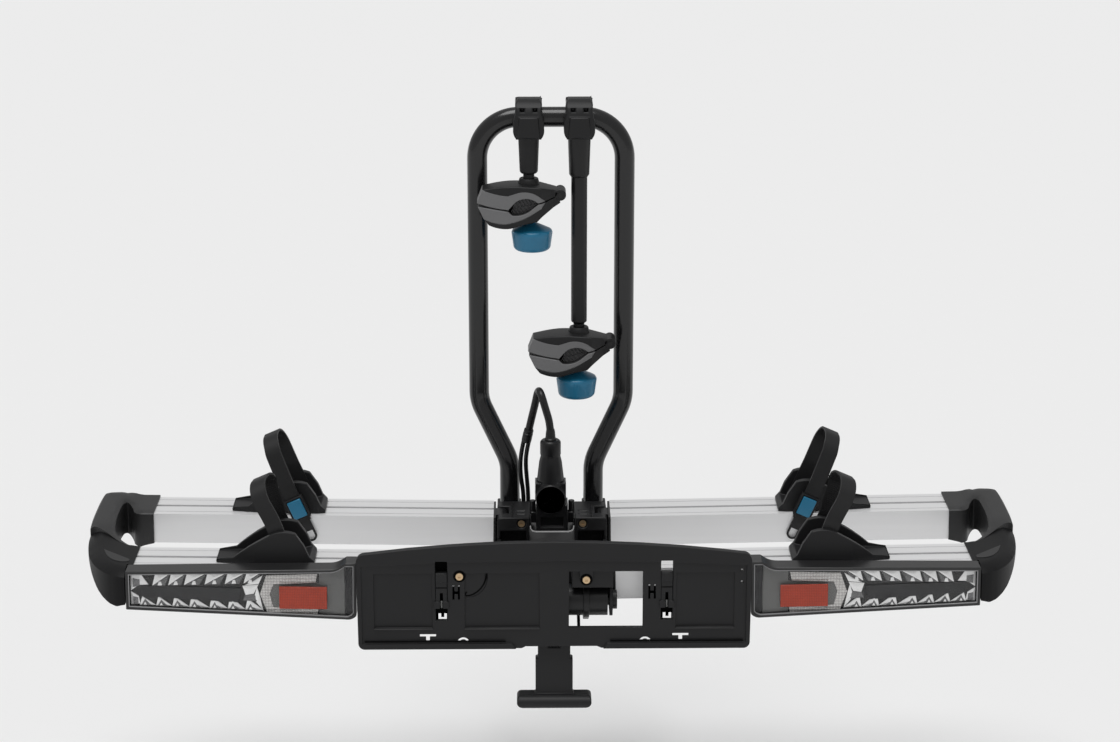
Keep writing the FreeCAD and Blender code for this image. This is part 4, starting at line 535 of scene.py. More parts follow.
def crown_height(x, y):
    """The top of the crown: it rises outwards and towards the car."""
    return CAP_TOP + 7.5 * eased((x - RAIL_END) / 36) * eased((y + 390) / 105)


def lobe_height(x, y):
    """The top of the front lobe, flatter than the crown."""
    return CAP_TOP + 1.5 * eased((x - 600) / 40) * eased((y + 390) / 60)


def cap_shell(points, height, rims):
    """A moulded shell on its plan: the top follows a height and falls to its rims, and the rail end is open.

    A rim is a line, the width and depth of the fall along it, and the power of its curve.
    """
    line = flowing(points)
    bm = bmesh.new()
    whole = bm.faces.new([bm.verts.new((x, y, 0)) for x, y in line])
    for reach in CAP_INSETS:
        bmesh.ops.inset_region(bm, faces=[whole], thickness=reach, use_even_offset=True)
    for axis, places in CAP_CUTS:
        for place in places:
            divide(bm, axis, place)
    top = set(grow(bm, bm.faces[:], (0, 0, 0))[1])
    for vert in bm.verts:
        x, y = vert.co.x, vert.co.y
        if vert in top:
            fall = sum(deep * max(0, 1 - reach_of(x, y, path) / wide) ** power for path, wide, deep, power in rims)
            vert.co.z = height(x, y) - fall
        else:
            vert.co.z = between(x, CAP_UNDER)
    lamp_back = FRONT_RAIL - RAIL_HALF
    ends = [face for face in bm.faces if all(vert.co.x < CAP_START + 0.01 for vert in face.verts)
            or all(abs(vert.co.y - lamp_back) < 0.2 and vert.co.x < CAP_LAMP_END + 0.1 for vert in face.verts)]
    bmesh.ops.delete(bm, geom=ends, context="FACES_ONLY")
    bmesh.ops.recalc_face_normals(bm, faces=bm.faces)
    bmesh.ops.solidify(bm, geom=bm.faces[:], thickness=CAP_WALL)
    return bm


class RACK_OT_add_caps(bpy.types.Operator):
    """Adds the end caps: the crown over the rear rail, and the front lobe with its ledge; the crown and ledge in a
    lighter black as painted highlight, the lobe in a darker black as painted shade
    """
    bl_idname = "rack.add_caps"
    bl_label = "Add the end caps"

    def execute(self, context):
        crown, lobe = flowing(CROWN), flowing(LOBE)
        outside, hollow, front = stretch(crown, 1, 8), stretch(crown, 15, 29), stretch(lobe, 0, 9)
        # The crown takes the lighter black as painted highlight, the lobe the darker black as painted shade
        forms = {
            "crown": (CROWN, crown_height, [(outside, 5, 3.5, 2), (hollow, 4, 2.5, 2)], "crown"),
            "lobe": (LOBE, lobe_height, [(front, 15, 7.5, 1), (front, 2.5, 1.5, 2)], "cap_shade"),
        }
        for side in SIDES:
            for key, (points, height, rims, look) in forms.items():
                bm = cap_shell(points, height, rims)
                on_wing(bm, side)
                nodes = [f"{side}_end_cap"] if key == "crown" else []
                piece(f"{side}_cap_{key}", as_mesh(bm, key, smooth=28), f"{side}_wing", look, *nodes)
            bm = bmesh.new()
            grow(bm, [bm.faces.new([bm.verts.new((x, y, LEDGE_BASE)) for x, y in flowing(LEDGE)])], (0, 0, 1))
            on_wing(bm, side)
            # The ledge takes the lighter black as painted highlight on its top
            rounded(piece(f"{side}_cap_ledge", as_mesh(bm, "ledge"), f"{side}_wing", "crown"), 0.5 * MM)
        return {"FINISHED"}


# Lamps


LAMP_WINDOW = [(579, 44.5), (579, 91.7), (307, 97.6), (296.5, 99.5, "arc"), (285.5, 106.8), (273, 106.8),
               (273, 38.5), (278, 34, "arc"), (283, 32.8)]
LAMP_OPTICS = LAMP_FACE + 6.5
UPPER_APEXES = [547.3, 525.6, 504.1, 476.1, 448.6, 423.0]
LOWER_ENDS = [564.8, 542.8, 520.9, 497.7, 470.2, 445.2, 421.3, 397.0]
# Look, depth behind the lamp's face, thickness and outline of each panel
LAMP_PARTS = {
    "band": ("graphite", 5.6, 2.4, [(563, 74), (425.5, 71), (429.5, 50.5), (561, 58.5)]),
    "prisms": ("prisms", 5.4, 2.2, [(392, 90.8), (322.5, 93.3), (325, 80.5), (382.4, 77.7), (387.5, 63.4),
                                    (382.8, 43.8), (321, 42.6), (323, 33), (391.5, 37), (400.8, 63.2)]),
    "panel": ("smoke", 7.2, 1.6, [(383.5, 78.5), (274, 80.5), (274, 42), (383.5, 42.8), (388.5, 63)]),
    "end_panel": ("smoke", 6.2, 3.0, [(320, 96), (307, 97.6), (296, 100.5), (286, 105.8), (285, 34), (320, 35.5)]),
    "dark_end": ("graphite", 6.0, 3.2, [(284.6, 106), (274, 106), (274, 38.5), (278, 35), (284.6, 34)]),
}
# The facets at the outer end and at the cross: group, depth before the optics, lift and corners
END_FACETS = [
    ("teeth", 0, 2.2, [(576.5, 90.2), (562.5, 90.2), (552.5, 75.2), (566, 74.4), (576.5, 66.5)]),
    ("teeth", 0, 2.0, [(576.5, 65.2), (566, 58.2), (564, 47), (576.5, 46)]),
    ("shades", 2.0, 0.9, [(573.5, 84.5), (564, 83), (564, 74), (573.5, 72)]),
    ("shades", 1.9, 0.9, [(573.5, 58.5), (566.5, 56.5), (566.5, 48), (573.5, 47.5)]),
    ("teeth", 0, 1.4, [(421.5, 75.5), (402.5, 77.5), (397, 90), (419, 76.5)]),
    ("teeth", 0, 2.0, [(424.5, 74.5), (402.8, 76.5), (409.5, 63), (420, 60)]),
    ("teeth", 0, 1.8, [(404.8, 73), (402, 63.5), (396.5, 38), (409.5, 56)]),
    ("shades", 0.4, 1.6, [(421, 61.5), (409, 63.5), (402.6, 52), (424, 53.5)]),
]


def facet(bm, corners, y, lift):
    """A low pyramid towards the viewer over a small outline."""
    front = bm.faces.new([bm.verts.new((x, y, z)) for x, z in corners])
    grow(bm, [front], (0, 1.2, 0))
    tip = bmesh.ops.poke(bm, faces=[front])["verts"][0]
    tip.co.y = y - lift


def on_wing(bm, side):
    """Raises a piece made for the right wing with its wing, and mirrors it for the left one."""
    bmesh.ops.transform(bm, matrix=rise_matrix(), verts=bm.verts)
    if side == "left":
        flip(bm, 0)


def lamp_line(x):
    """The height of the lower and upper edge of the lamp's window at a distance along it."""
    share = (x - 283) / (579 - 283)
    return 33.6 + share * 11.8, 97.2 - (x - 307) / (579 - 307) * 5.9


def lamp_facets():
    """The teeth and their dark facets along both edges of a lamp and at its ends: painted highlight in the bright
    teeth, painted shade in the dark facets.

    Each tooth's corners are measured from its own tip or foot.
    """
    light, dark = bmesh.new(), bmesh.new()
    face = LAMP_OPTICS
    tops = [apex - 4.5 for apex in UPPER_APEXES] + [398]
    for number, apex in enumerate(UPPER_APEXES):
        high = lamp_line(apex)[1] - 0.5
        low = 73.2 + (UPPER_APEXES[0] - apex) * 0.037
        left, right = tops[number], tops[number + 1] + 1.6
        facet(light, [(left, high), (apex, low), (right, high)], face, 1.6)
        middle = (apex + (UPPER_APEXES + [404])[number + 1]) / 2
        facet(dark, [(apex - 0.8, low + 0.3), (middle - 6.5, low + 0.6), (right + 1.2, high - 1.5)], face, 0.8)
        facet(light, [(middle + 3.4, low + 1.2), (middle - 2.6, low + 1.4), (middle - 1.5, low + 6.4),
                      (middle + 1.6, low + 6.6)], face - 1.1, 0.9)
    for left, right in zip(LOWER_ENDS, LOWER_ENDS[1:]):
        low = lamp_line(left)[0] + 0.4
        peak = 58.0 + (553 - left) * 0.008
        if left < 440:
            peak -= 3.2
        facet(light, [(left, low), (left - 3.5, peak), (right, low)], face, 1.8)
        facet(dark, [(left - 2.6, low + 1), (left - 7.2, low + 9.4), (left - 15.5, low + 1)], face - 1.3, 1.2)
        facet(light, [(left - 5.6, low + 1.4), (left - 7.6, low + 5.6), (left - 9.8, low + 1.4)], face - 2.6, 0.5)

    optics = {"teeth": light, "shades": dark}
    for key, depth, lift, corners in END_FACETS:
        facet(optics[key], corners, face - depth, lift)
    return optics


class RACK_OT_add_lamps(bpy.types.Operator):
    """Adds the teeth with their painted highlight and painted shade, the centre band, the prisms and the panels inside
    each lamp, and the painted highlight round its window
    """
    bl_idname = "rack.add_lamps"
    bl_label = "Add the lamp optics"

    def execute(self, context):
        for side in SIDES:
            body = f"{side}_wing"
            optics = lamp_facets()
            for key, (look, depth, thick, corners) in LAMP_PARTS.items():
                bm = bmesh.new()
                plate(bm, corners, LAMP_FACE + depth, LAMP_FACE + depth + thick)
                on_wing(bm, side)
                rounded(piece(f"{side}_lamp_{key}", as_mesh(bm, key), body, look), 0.35 * MM)
            # The teeth carry painted highlight and their shades painted shade
            for key, look in (("teeth", "painted_highlight"), ("shades", "painted_shade_chrome")):
                on_wing(optics[key], side)
                piece(f"{side}_lamp_{key}", as_mesh(optics[key], key, smooth=4), body, look)
            bm = bmesh.new()
            plate(bm, outline(LAMP_WINDOW), LAMP_FACE + 8, LAMP_FACE + 10.5)
            on_wing(bm, side)
            piece(f"{side}_lamp_backing", as_mesh(bm, "backing"), body, "backing")
            # The ring round the window, in light grey as painted highlight
            bm = bmesh.new()
            whole = bm.faces.new([bm.verts.new((x, LAMP_FACE + 0.6, z)) for x, z in outline(LAMP_WINDOW)])
            whole.normal_update()
            bmesh.ops.inset_individual(bm, faces=[whole], thickness=1.1, use_even_offset=True)
            bmesh.ops.delete(bm, geom=[whole], context="FACES_ONLY")
            bmesh.ops.recalc_face_normals(bm, faces=bm.faces)
            bmesh.ops.reverse_faces(bm, faces=[face for face in bm.faces if face.normal.y > 0])
            bmesh.ops.solidify(bm, geom=bm.faces[:], thickness=1.6)
            on_wing(bm, side)
            piece(f"{side}_lamp_bezel", as_mesh(bm, "rim_highlight"), body, "rim_highlight")
        return {"FINISHED"}


# Number-plate holder


PLATE_FACE = -502
PLATE_BACK = -492
CLIP_X = 152.5
CLIP_HALF = 13
SPRING_FOOT = 60.6
SPRING_PITCH = 0.62
SPRING_TURNS = 16
# Centres in X and Z of the dark rings round the screws, painted shade of their recesses
SCREW_SHADE_RINGS = [(-128, 106), (43.5, 100.5)]
BEHIND = (PLATE_BACK + 3.2, PLATE_BACK + 4.6)
# Painted shade behind a clip: dark boxes round its openings, from the clip's middle in X
CLIP_SHADE = [((-13, 34), (-4.7, 86)), ((6.7, 34), (13, 86)), ((-4.7, 34), (6.7, 40)), ((-4.7, 48.6), (6.7, 86)),
              ((-1, 43.2), (3.2, 48.6))]
# The dark strip along the plate's curved groove, painted shade in it
GROOVE = [(-90.7, 111.5), (-91.2, 105.5), (-92.6, 99.8), (-95.4, 93.3), (-99.4, 87.4), (-104, 82.8), (-109.5, 79.2),
          (-114.5, 77.3), (-119.3, 77), (-120.1, 79.8), (-118.2, 82.8)]
# Dark strips in the groove above the rolled lip, painted shade: their ends in X and their heights
LIP_GROOVE_SHADES = [(-257, -66), (76, 257)]
LIP_SHADE_HEIGHTS = (11.6, 13.2)
BEADS = [(-244, -165), (-121, -20), (165, 244)]
BEAD_HEIGHTS = (29.6, 31.2)
# The bright line along the edge of the centre tray, a painted highlight
TRAY_EDGE = [(-31.4, 80), (-31.2, 76.5), (-29.8, 73.6), (-27, 71.8), (-23.5, 71)]
# Dark blocks in the gaps at the hinges, painted shade: their span in X, heights, and margin from the rail's sides
GAP_SHADE = (78.5, 82.1)
GAP_SHADE_HEIGHTS = (50, 80)
GAP_SHADE_MARGIN = 2.5


def ribbon(line, width):
    """The outline of a line drawn with a width."""
    sides = []
    for number, point in enumerate(line):
        before, after = Vector(line[max(0, number - 1)]), Vector(line[min(len(line) - 1, number + 1)])
        along = (after - before).normalized() * width / 2
        sides.append(((point[0] - along.y, point[1] + along.x), (point[0] + along.y, point[1] - along.x)))
    return [left for left, right in sides] + [right for left, right in sides[::-1]]


def add_clip_details(side, sign):
    """Painted shade behind a number-plate clip, in its openings and along its sides, its spring, and a painted shadow
    line under its lip.
    """
    bm = bmesh.new()
    for (left, low), (right, high) in CLIP_SHADE:
        ends = sorted((sign * CLIP_X + left, sign * CLIP_X + right))
        block(bm, (ends[0], BEHIND[0], low), (ends[1], BEHIND[1], high))
    # Dark strips along both sides of the clip: painted shade between clip and plate
    for edge in (-CLIP_HALF, CLIP_HALF - 1.4):
        block(bm, (sign * CLIP_X + edge, PLATE_BACK + 0.05, 36), (sign * CLIP_X + edge + 1.4, BEHIND[0], 84))
    # Painted shade in the left clip's upper window
    if side == "left":
        block(bm, (-CLIP_X - CLIP_HALF, BEHIND[0], 86), (-CLIP_X + CLIP_HALF, BEHIND[1], 131))
    # A dark box just behind the plate beside the clip: painted shade
    middle = sign * (CLIP_X - 20)
    block(bm, (middle - 7.5, PLATE_BACK + 0.05, 62), (middle + 7.5, PLATE_BACK + 1.4, 88))
    piece(f"{side}_clip_painted_shade", as_mesh(bm, "clip_shade_boxes"), "platform", "shadow")
    turns = [(1.9 - 0.55 * (number % 2), SPRING_FOOT + number * SPRING_PITCH) for number in range(SPRING_TURNS)]
    sleeve(f"{side}_clip_spring", [(0, turns[0][1]), *turns, (0, turns[-1][1])],
           (sign * CLIP_X, PLATE_FACE + 5, 0), (0, 0, 1), "smoke", f"{side}_plate_clip")
    # A dark strip under the clip's lip: painted shadow
    bm = bmesh.new()
    block(bm, (sign * CLIP_X - 7.4, PLATE_FACE + 1.9, 89), (sign * CLIP_X + 7.4, PLATE_FACE + 2.6, 90.4))
    piece(f"{side}_clip_lip_shadow", as_mesh(bm, "line"), f"{side}_plate_clip", "shadow")


class RACK_OT_add_plate(bpy.types.Operator):
    """Adds the painted shade behind the number-plate clips, their springs and the painted shadow under their lips,
    painted shade in the plate's grooves and round its screws, the beads with painted highlight, a painted highlight
    along the tray's edge, and painted shade in the gaps at the hinges
    """
    bl_idname = "rack.add_plate"
    bl_label = "Add the plate details"

    def execute(self, context):
        for side, sign in SIDES.items():
            add_clip_details(side, sign)
        # Painted shade in the curved groove and in the groove above the lip
        bm = bmesh.new()
        plate(bm, ribbon(GROOVE, 2), PLATE_FACE + 5.3, PLATE_FACE + 8)
        for left, right in LIP_GROOVE_SHADES:
            block(bm, (left, PLATE_FACE - 0.06, LIP_SHADE_HEIGHTS[0]), (right, PLATE_FACE + 1, LIP_SHADE_HEIGHTS[1]))
        piece("plate_groove_shade", as_mesh(bm, "grooves"), "platform", "shadow")
        bm = bmesh.new()
        for left, right in BEADS:
            block(bm, (left - 0.5, PLATE_FACE - 0.1, BEAD_HEIGHTS[0]), (right + 0.5, PLATE_FACE + 2.4, BEAD_HEIGHTS[1]))
        # The beads take the caps' lighter black as painted highlight on their tops
        rounded(piece("plate_beads", as_mesh(bm, "beads"), "platform", "crown"), 0.7 * MM)
        # A dark ring round each screw: painted shade of its recess
        for number, (x, z) in enumerate(SCREW_SHADE_RINGS):
            sleeve(f"screw_shade_ring_{number}", [(5.1, 0), (8.4, 0), (8.4, 0.3), (5.1, 0.3), (5.1, 0)],
                   (x, PLATE_FACE + 2.75, z), (0, 1, 0), "shadow", "platform")
        # A bright line along the tray's edge: painted highlight
        bm = bmesh.new()
        line = TRAY_EDGE + [(-x, z) for x, z in reversed(TRAY_EDGE)]
        plate(bm, ribbon(line, 1.6), REAR_RAIL - RAIL_HALF - 0.2, REAR_RAIL - RAIL_HALF + 1)
        piece("tray_edge_highlight", as_mesh(bm, "edge"), "platform", "painted_highlight")
        # Dark blocks in the gaps between the centre frame and the rails, painted shade
        reach = RAIL_HALF - GAP_SHADE_MARGIN
        for side in SIDES:
            bm = bmesh.new()
            for row in (REAR_RAIL, FRONT_RAIL):
                block(bm, (GAP_SHADE[0], row - reach, GAP_SHADE_HEIGHTS[0]), (GAP_SHADE[1], row + reach, GAP_SHADE_HEIGHTS[1]))
            on_wing(bm, side)
            piece(f"{side}_hinge_gap_shade", as_mesh(bm, "gap_shade_block"), "platform", "shadow")
        return {"FINISHED"}


# Frame jaws


# Each seam between shell and lining runs from the tip to the hinge, in X and Z from the middle of the jaw's stem
UPPER_SEAM = [(-66.4, 21.8), (-48, 16, "arc"), (-30, 13.8), (-20, 17), (-4, 19.5, "arc"), (17.6, 10.5), (24, 5.6)]
UPPER_SHELL = [UPPER_SEAM[0], (-57, 23.5), (-36, 26.5, "arc"), (-15, 27.2), (16, 25.2), (42, 18), (39, 10.8),
               *UPPER_SEAM[:0:-1]]
UPPER_LINING = [(-74.2, 2), *UPPER_SEAM, (12.6, 3), (-5, 9.4, "arc"), (-20, 3.5), (-29, -6.6), (-45, -5.2, "arc")]
LOWER_SEAM = [(-63.9, -21.8), (-50, -26.5, "arc"), (-33.7, -28), (-14, -23, "arc"), (4.9, -14), (18, -4.6), (24, 3.4)]
LOWER_SHELL = [LOWER_SEAM[0], (-57, -30), (-38.7, -34.6, "arc"), (-22, -33.2), (-5, -28), (11.6, -24.5),
               (18.3, -17.5), (45, 1), (39, 9), *LOWER_SEAM[:0:-1]]
LOWER_LINING = [(-73, -3), *LOWER_SEAM, (12.6, 0.8), (4.9, -5.2), (-8, -13, "arc"), (-23.6, -14.5), (-29, -9.2),
                (-45, -7, "arc")]
JAW_FRONT = ARM_Y - 30
JAW_BACK = ARM_Y + 17
JAW_PIVOT = (45, 12)
JAW_TIP = -29
JAW_TAPER = (18, 35)
MOUTH_SPLIT = [(-27.6, -7.6), (12, 1.6)]
MOUTH_LOW = [(-27.6, -9), (-23, -14), (-15.5, -14), (-8, -12.4), (-2, -9.6), (4.9, -4.7), (12, 1.2)]
MOUTH_HIGH = [(-27.6, -6.2), (-20, 4), (-12.5, 7.7), (-5, 8.9), (4, 6.9), (12, 3.2)]
RIB_LEAN = 3.2
RIB_WIDTH = 0.7
RIB_LEAST = 1.2


def jaw_form(points, x, z, outer=0, soft=0.0):
    """A part of a jaw: its outline drawn back along Y, narrower towards the tip and the hinge.

    The edges along the outline's first stretch, up to its outer corner, are rounded by the given radius.
    """
    bm = bmesh.new()
    line = outline(points)
    plate(bm, line, JAW_FRONT, JAW_BACK)
    bm.verts.ensure_lookup_table()
    if outer:
        marked = []
        for edge in bm.edges:
            a, b = edge.verts
            ends = sorted(min(range(len(line)), key=lambda n: (Vector(line[n]) - Vector((v.co.x, v.co.z))).length)
                          for v in (a, b))
            if abs(a.co.y - b.co.y) < 0.01 and ends[1] - ends[0] == 1 and ends[1] <= outer:
                marked.append(edge)
        bmesh.ops.bevel(bm, geom=marked, offset=soft, segments=5, profile=0.5, affect="EDGES", material=-1,
                         clamp_overlap=True)
    for place in (JAW_TIP, *JAW_TAPER):
        divide(bm, 0, place)
    middle = (JAW_FRONT + JAW_BACK) / 2
    for vert in bm.verts:
        tip = max(0, (JAW_TIP - vert.co.x) / 47)
        hinge = min(1, max(0, (vert.co.x - JAW_TAPER[0]) / (JAW_TAPER[1] - JAW_TAPER[0])))
        if vert.co.y < middle:
            vert.co.y += 8 * tip + 13 * hinge
        else:
            vert.co.y -= 7 * tip
    bmesh.ops.translate(bm, vec=(x, 0, z), verts=bm.verts)
    return bm


class RACK_OT_add_jaws(bpy.types.Operator):
    """Adds the shells, grey linings, knuckles and ribbed mouths of the two frame jaws, with painted shade in the mouths
    """
    bl_idname = "rack.add_jaws"
    bl_label = "Add the frame jaws"

    def execute(self, context):
        for name, (x, z) in JAWS.items():
            upper, lower = f"{name}_jaw_upper", f"{name}_jaw_lower"
            for body, points, outside, soft in ((upper, UPPER_SHELL, 6, 5.5), (lower, LOWER_SHELL, 8, 4.0)):
                bm = jaw_form(points, x, z, len(outline(points[:outside])) - 1, soft)
                rounded(piece(body + "_shell", as_mesh(bm, body), body, "plastic", body), 0.9 * MM)
            for body, points, side in ((upper, UPPER_LINING, -1), (lower, LOWER_LINING, 1)):
                bm = jaw_form(points, x, z)
                mesh = as_mesh(bm, body + "_lining")
                made = piece(body + "_lining", mesh, body, "lining")
                mesh.materials.append(FINISHES["lining_shaded"])
                # The lining's faces inside the mouth take the darker lining as painted shade
                for face in mesh.polygons:
                    inside = x - 29.5 < face.center.x / MM < x + 14 and abs(face.normal.y) < 0.5
                    face.material_index = int(inside and face.normal.z * side > 0.2)
                rounded(made, 1.3 * MM)
            sleeve(upper + "_collar", [(0, 22), (15.5, 22), (15.3, 27), (13.6, 33.2), (12.8, 34), (8.06, 34), (0, 30)],
                   (x, ARM_Y, z), (0, 0, 1), "plastic", upper)
            pivot = (x + JAW_PIVOT[0], 0, z + JAW_PIVOT[1])
            for tag, body, low, high in (("knuckle_a", upper, -17, -10.4), ("knuckle", lower, -10, 10),
                                         ("knuckle_b", upper, 10.4, 17)):
                low, high = ARM_Y + low, ARM_Y + high
                sleeve(f"{name}_{tag}", [(0, low), (7.6, low), (8, low + 0.5), (8, high - 0.5), (7.6, high), (0, high)],
                       pivot, (0, 1, 0), "plastic", body)
            sleeve(f"{name}_hinge_pin", [(0, ARM_Y - 18), (3.4, ARM_Y - 18), (3.4, ARM_Y - 16.9), (0, ARM_Y - 16.9)],
                   pivot, (0, 1, 0), "satin_paint", upper)
            self.add_ribs(context.scene.rack_sizes.lining_ribs, name, x, z)
        return {"FINISHED"}

    def add_ribs(self, count, name, x, z):
        """Painted shade in the mouth of both halves of a jaw, with slanting ribs before it"""
        for half, edge, gap in (("lower", MOUTH_LOW, -0.25), ("upper", MOUTH_HIGH, 0.25)):
            carrier = f"{name}_jaw_{half}"
            split = [(px, pz + gap) for px, pz in MOUTH_SPLIT]
            # A dark plate filling the mouth: painted shade
            mouth_shade = bmesh.new()
            plate(mouth_shade, edge + split[::-1], JAW_FRONT + 10, JAW_BACK - 7)
            ribs = bmesh.new()
            for number in range(count * 2):
                px = -25.5 + number * 36 / (count * 2)
                foot, head = between(px, edge), between(px + RIB_LEAN, split)
                if half == "upper":
                    foot, head = between(px + RIB_LEAN, split), between(min(11, px + RIB_LEAN * 2), edge)
                    px += RIB_LEAN
                if abs(head - foot) > RIB_LEAST:
                    top = px + RIB_LEAN * 0.8
                    plate(ribs, [(px, foot), (px + RIB_WIDTH, foot), (top + RIB_WIDTH, head), (top, head)],
                          JAW_FRONT + 8.8, JAW_FRONT + 10.2)
            for bm, key, look in ((mouth_shade, "mouth_shade", "shadow"), (ribs, "ribs", "lining")):
                bmesh.ops.translate(bm, vec=(x, 0, z), verts=bm.verts)
                piece(f"{carrier}_{key}", as_mesh(bm, key), carrier, look)


# Cords


MAIN_CORD = [(-2, -205, 204), (-2, -205, 226), (-9, -204, 250), (-15.5, -204, 273), (-19.5, -181, 273),
             (-24, -180, 250), (-29, -178, 229), (-33, -175, 210)]
SPLITTER_LENGTH = 20
LEFT_CORD = [(-46, -162, 152), (-45, -153, 128), (-41.2, -148.5, 103), (-41.2, -148.5, 80)]
RIGHT_CORD = [(-38, -162, 153), (-36.5, -153, 129), (-34.4, -148.5, 103), (-34.4, -148.5, 80)]
CORD_SPREAD = 3.7
CORD_START = 17


def cord_line(name, points, radius, *nodes):
    """A round cord along a smooth curve through its chosen points."""
    curve = bpy.data.curves.new(name, "CURVE")
    curve.dimensions = "3D"
    spline = curve.splines.new("NURBS")
    spline.points.add(len(points) - 1)
    for knot, point in zip(spline.points, points):
        knot.co = (*[part * MM for part in point], 1)
    spline.order_u = 3
    spline.use_endpoint_u = True
    spline.resolution_u = 16
    curve.bevel_depth = radius * MM
    curve.bevel_resolution = 5
    curve.use_fill_caps = True
    item = bpy.data.objects.new(name, curve)
    bpy.context.scene.collection.objects.link(item)
    curve.materials.append(FINISHES["rubber"])
    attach(item, "platform")
    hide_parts(*nodes)
    return item


def sleeve(name, profile, start, heading, look, body, *nodes):
    """A turned piece along a line, from (radius, distance) steps."""
    bm = bmesh.new()
    points = [bm.verts.new((radius, 0, along)) for radius, along in profile]
    edges = [bm.edges.new(pair) for pair in zip(points, points[1:])]
    bmesh.ops.spin(bm, geom=points + edges, cent=(0, 0, 0), axis=(0, 0, 1), dvec=(0, 0, 0),
                   angle=math.tau, steps=32, use_merge=True, use_duplicate=False)
    bmesh.ops.remove_doubles(bm, verts=bm.verts, dist=0.001)
    turn = Vector((0, 0, 1)).rotation_difference(Vector(heading)).to_matrix().to_4x4()
    bmesh.ops.transform(bm, matrix=Matrix.Translation(start) @ turn, verts=bm.verts)
    return piece(name, as_mesh(bm, name), body, look, *nodes)


class RACK_OT_add_cords(bpy.types.Operator):
    """Adds the plug's cord, its splitter and the two thin cords"""
    bl_idname = "rack.add_cords"
    bl_label = "Add the cords"

    def execute(self, context):
        last, before = Vector(MAIN_CORD[-1]), Vector(MAIN_CORD[-2])
        heading = (last - before).normalized()
        end = last + heading * SPLITTER_LENGTH
        aside = (ACROSS - heading * ACROSS.dot(heading)).normalized() * CORD_SPREAD
        splitter = sleeve(
            "cord_splitter_sleeve",
            [(0, -0.5), (6.4, -0.5), (7.0, 0.6), (7.0, 3.5), (6.5, 4.0), (6.5, 5.2), (7.2, 5.8), (7.2, 15),
             (7.2, 18.6), (6.6, 20), (0, 20)],
            last, heading, "rubber", "platform", "cord_splitter")
        main = cord_line("plug_cord", MAIN_CORD, 5.5, "main_cord")
        for name, shift, rest in (("left", -aside, LEFT_CORD), ("right", aside, RIGHT_CORD)):
            route = [tuple(end + shift), tuple(end + shift + heading * CORD_START), *rest]
            cord_line(f"lamp_cord_{name}", route, 3.2, f"thin_cord_{name}")
            gland = Vector(rest[-1])
            sleeve(f"lamp_cord_gland_{name}", [(0, 0), (3.35, 0), (3.5, 1), (3.45, 4), (3.3, 9), (0, 9)],
                   gland, (0, 0, 1), "rubber", "platform")
        sleeve("plug_cord_boot", [(0, 0), (8.6, 0), (8.6, 1.6), (7.4, 3), (6.6, 12), (5.8, 16), (0, 16)],
               Vector(PLUG), (0, 0, 1), "rubber", "platform")
        return {"FINISHED"}


# Straps


STRAP_WIDTH = 22
STRAP_THICK = 3
STRAP_BORDER = 3
LOOP_WIDTH = 17
LOOP_HOLE = 11
LOOP_END = 41
LOOP_OPEN = 16.5
STRAP_NEAR = REAR_RAIL - TRAY_HALF - 10.5
STRAP_FAR = REAR_RAIL + TRAY_HALF - 11
STRAP_CROWN = RAIL_TOP + 118
STRAP_KNEES = (REAR_RAIL - 31, REAR_RAIL + 27)
STRAP_BENDS = [40, 26, 24, 40]
STRAP_SKEWS = {"rear": (3, 8, 10), "front": (13, 2, 0)}
# The band's ribs: how far they reach up and back, and the border of each
RIBS_UP = (RAIL_TOP + 30, RAIL_TOP + 108)
RIBS_BACK = REAR_RAIL - 12
RIBS_BORDER = 0.55


def strap_route():
    """The corners of a strap's line, in its own plane across X."""
    corners = [(STRAP_NEAR, RAIL_TOP - 8), (STRAP_NEAR, RAIL_TOP + 46), (STRAP_KNEES[0], STRAP_CROWN),
               (STRAP_KNEES[1], STRAP_CROWN + 3), (STRAP_FAR, RAIL_TOP + 62), (STRAP_FAR, RAIL_TOP + 8)]
    return [Vector((0, y, z)) for y, z in corners]


def strap_band(pitch):
    """The band, swept in steps of one rib from run to run and round its bends."""
    bm = bmesh.new()
    corners = strap_route()
    half = STRAP_WIDTH / 2
    across = [-half, STRAP_BORDER - half, half - STRAP_BORDER, half]
    row = [bm.verts.new(corners[0] + ACROSS * x) for x in across]
    edge = [bm.edges.new(pair) for pair in zip(row, row[1:])]
    place = corners[0].copy()

    def forward(edges, step):
        grown = bmesh.ops.extrude_edge_only(bm, edges=edges)["geom"]
        verts = [part for part in grown if isinstance(part, bmesh.types.BMVert)]
        bmesh.ops.translate(bm, vec=step, verts=verts)
        return [part for part in grown if isinstance(part, bmesh.types.BMEdge)
                and all(v in verts for v in part.verts)]

    for number, corner in enumerate(corners[1:], 1):
        heading = (corner - place).normalized()
        reach = (corner - place).length
        if number < len(corners) - 1:
            ahead = (corners[number + 1] - corner).normalized()
            angle = heading.angle(ahead)
            radius = STRAP_BENDS[number - 1]
            reach -= radius * math.tan(angle / 2)
        steps = max(1, round(reach / pitch))
        for _ in range(steps):
            edge = forward(edge, heading * reach / steps)
        place = place + heading * reach
        if number < len(corners) - 1:
            axis = heading.cross(ahead).normalized()
            centre = place + axis.cross(heading) * radius
            turns = max(2, round(radius * angle / pitch))
            ring = list({v for part in edge for v in part.verts})
            last = bmesh.ops.spin(bm, geom=ring + edge, cent=centre, axis=axis, dvec=(0, 0, 0),
                                  angle=angle, steps=turns, use_merge=False, use_duplicate=False)["geom_last"]
            edge = [part for part in last if isinstance(part, bmesh.types.BMEdge)]
            place = centre + Matrix.Rotation(angle, 3, axis) @ (place - centre)
    bmesh.ops.recalc_face_normals(bm, faces=bm.faces)
    return bm


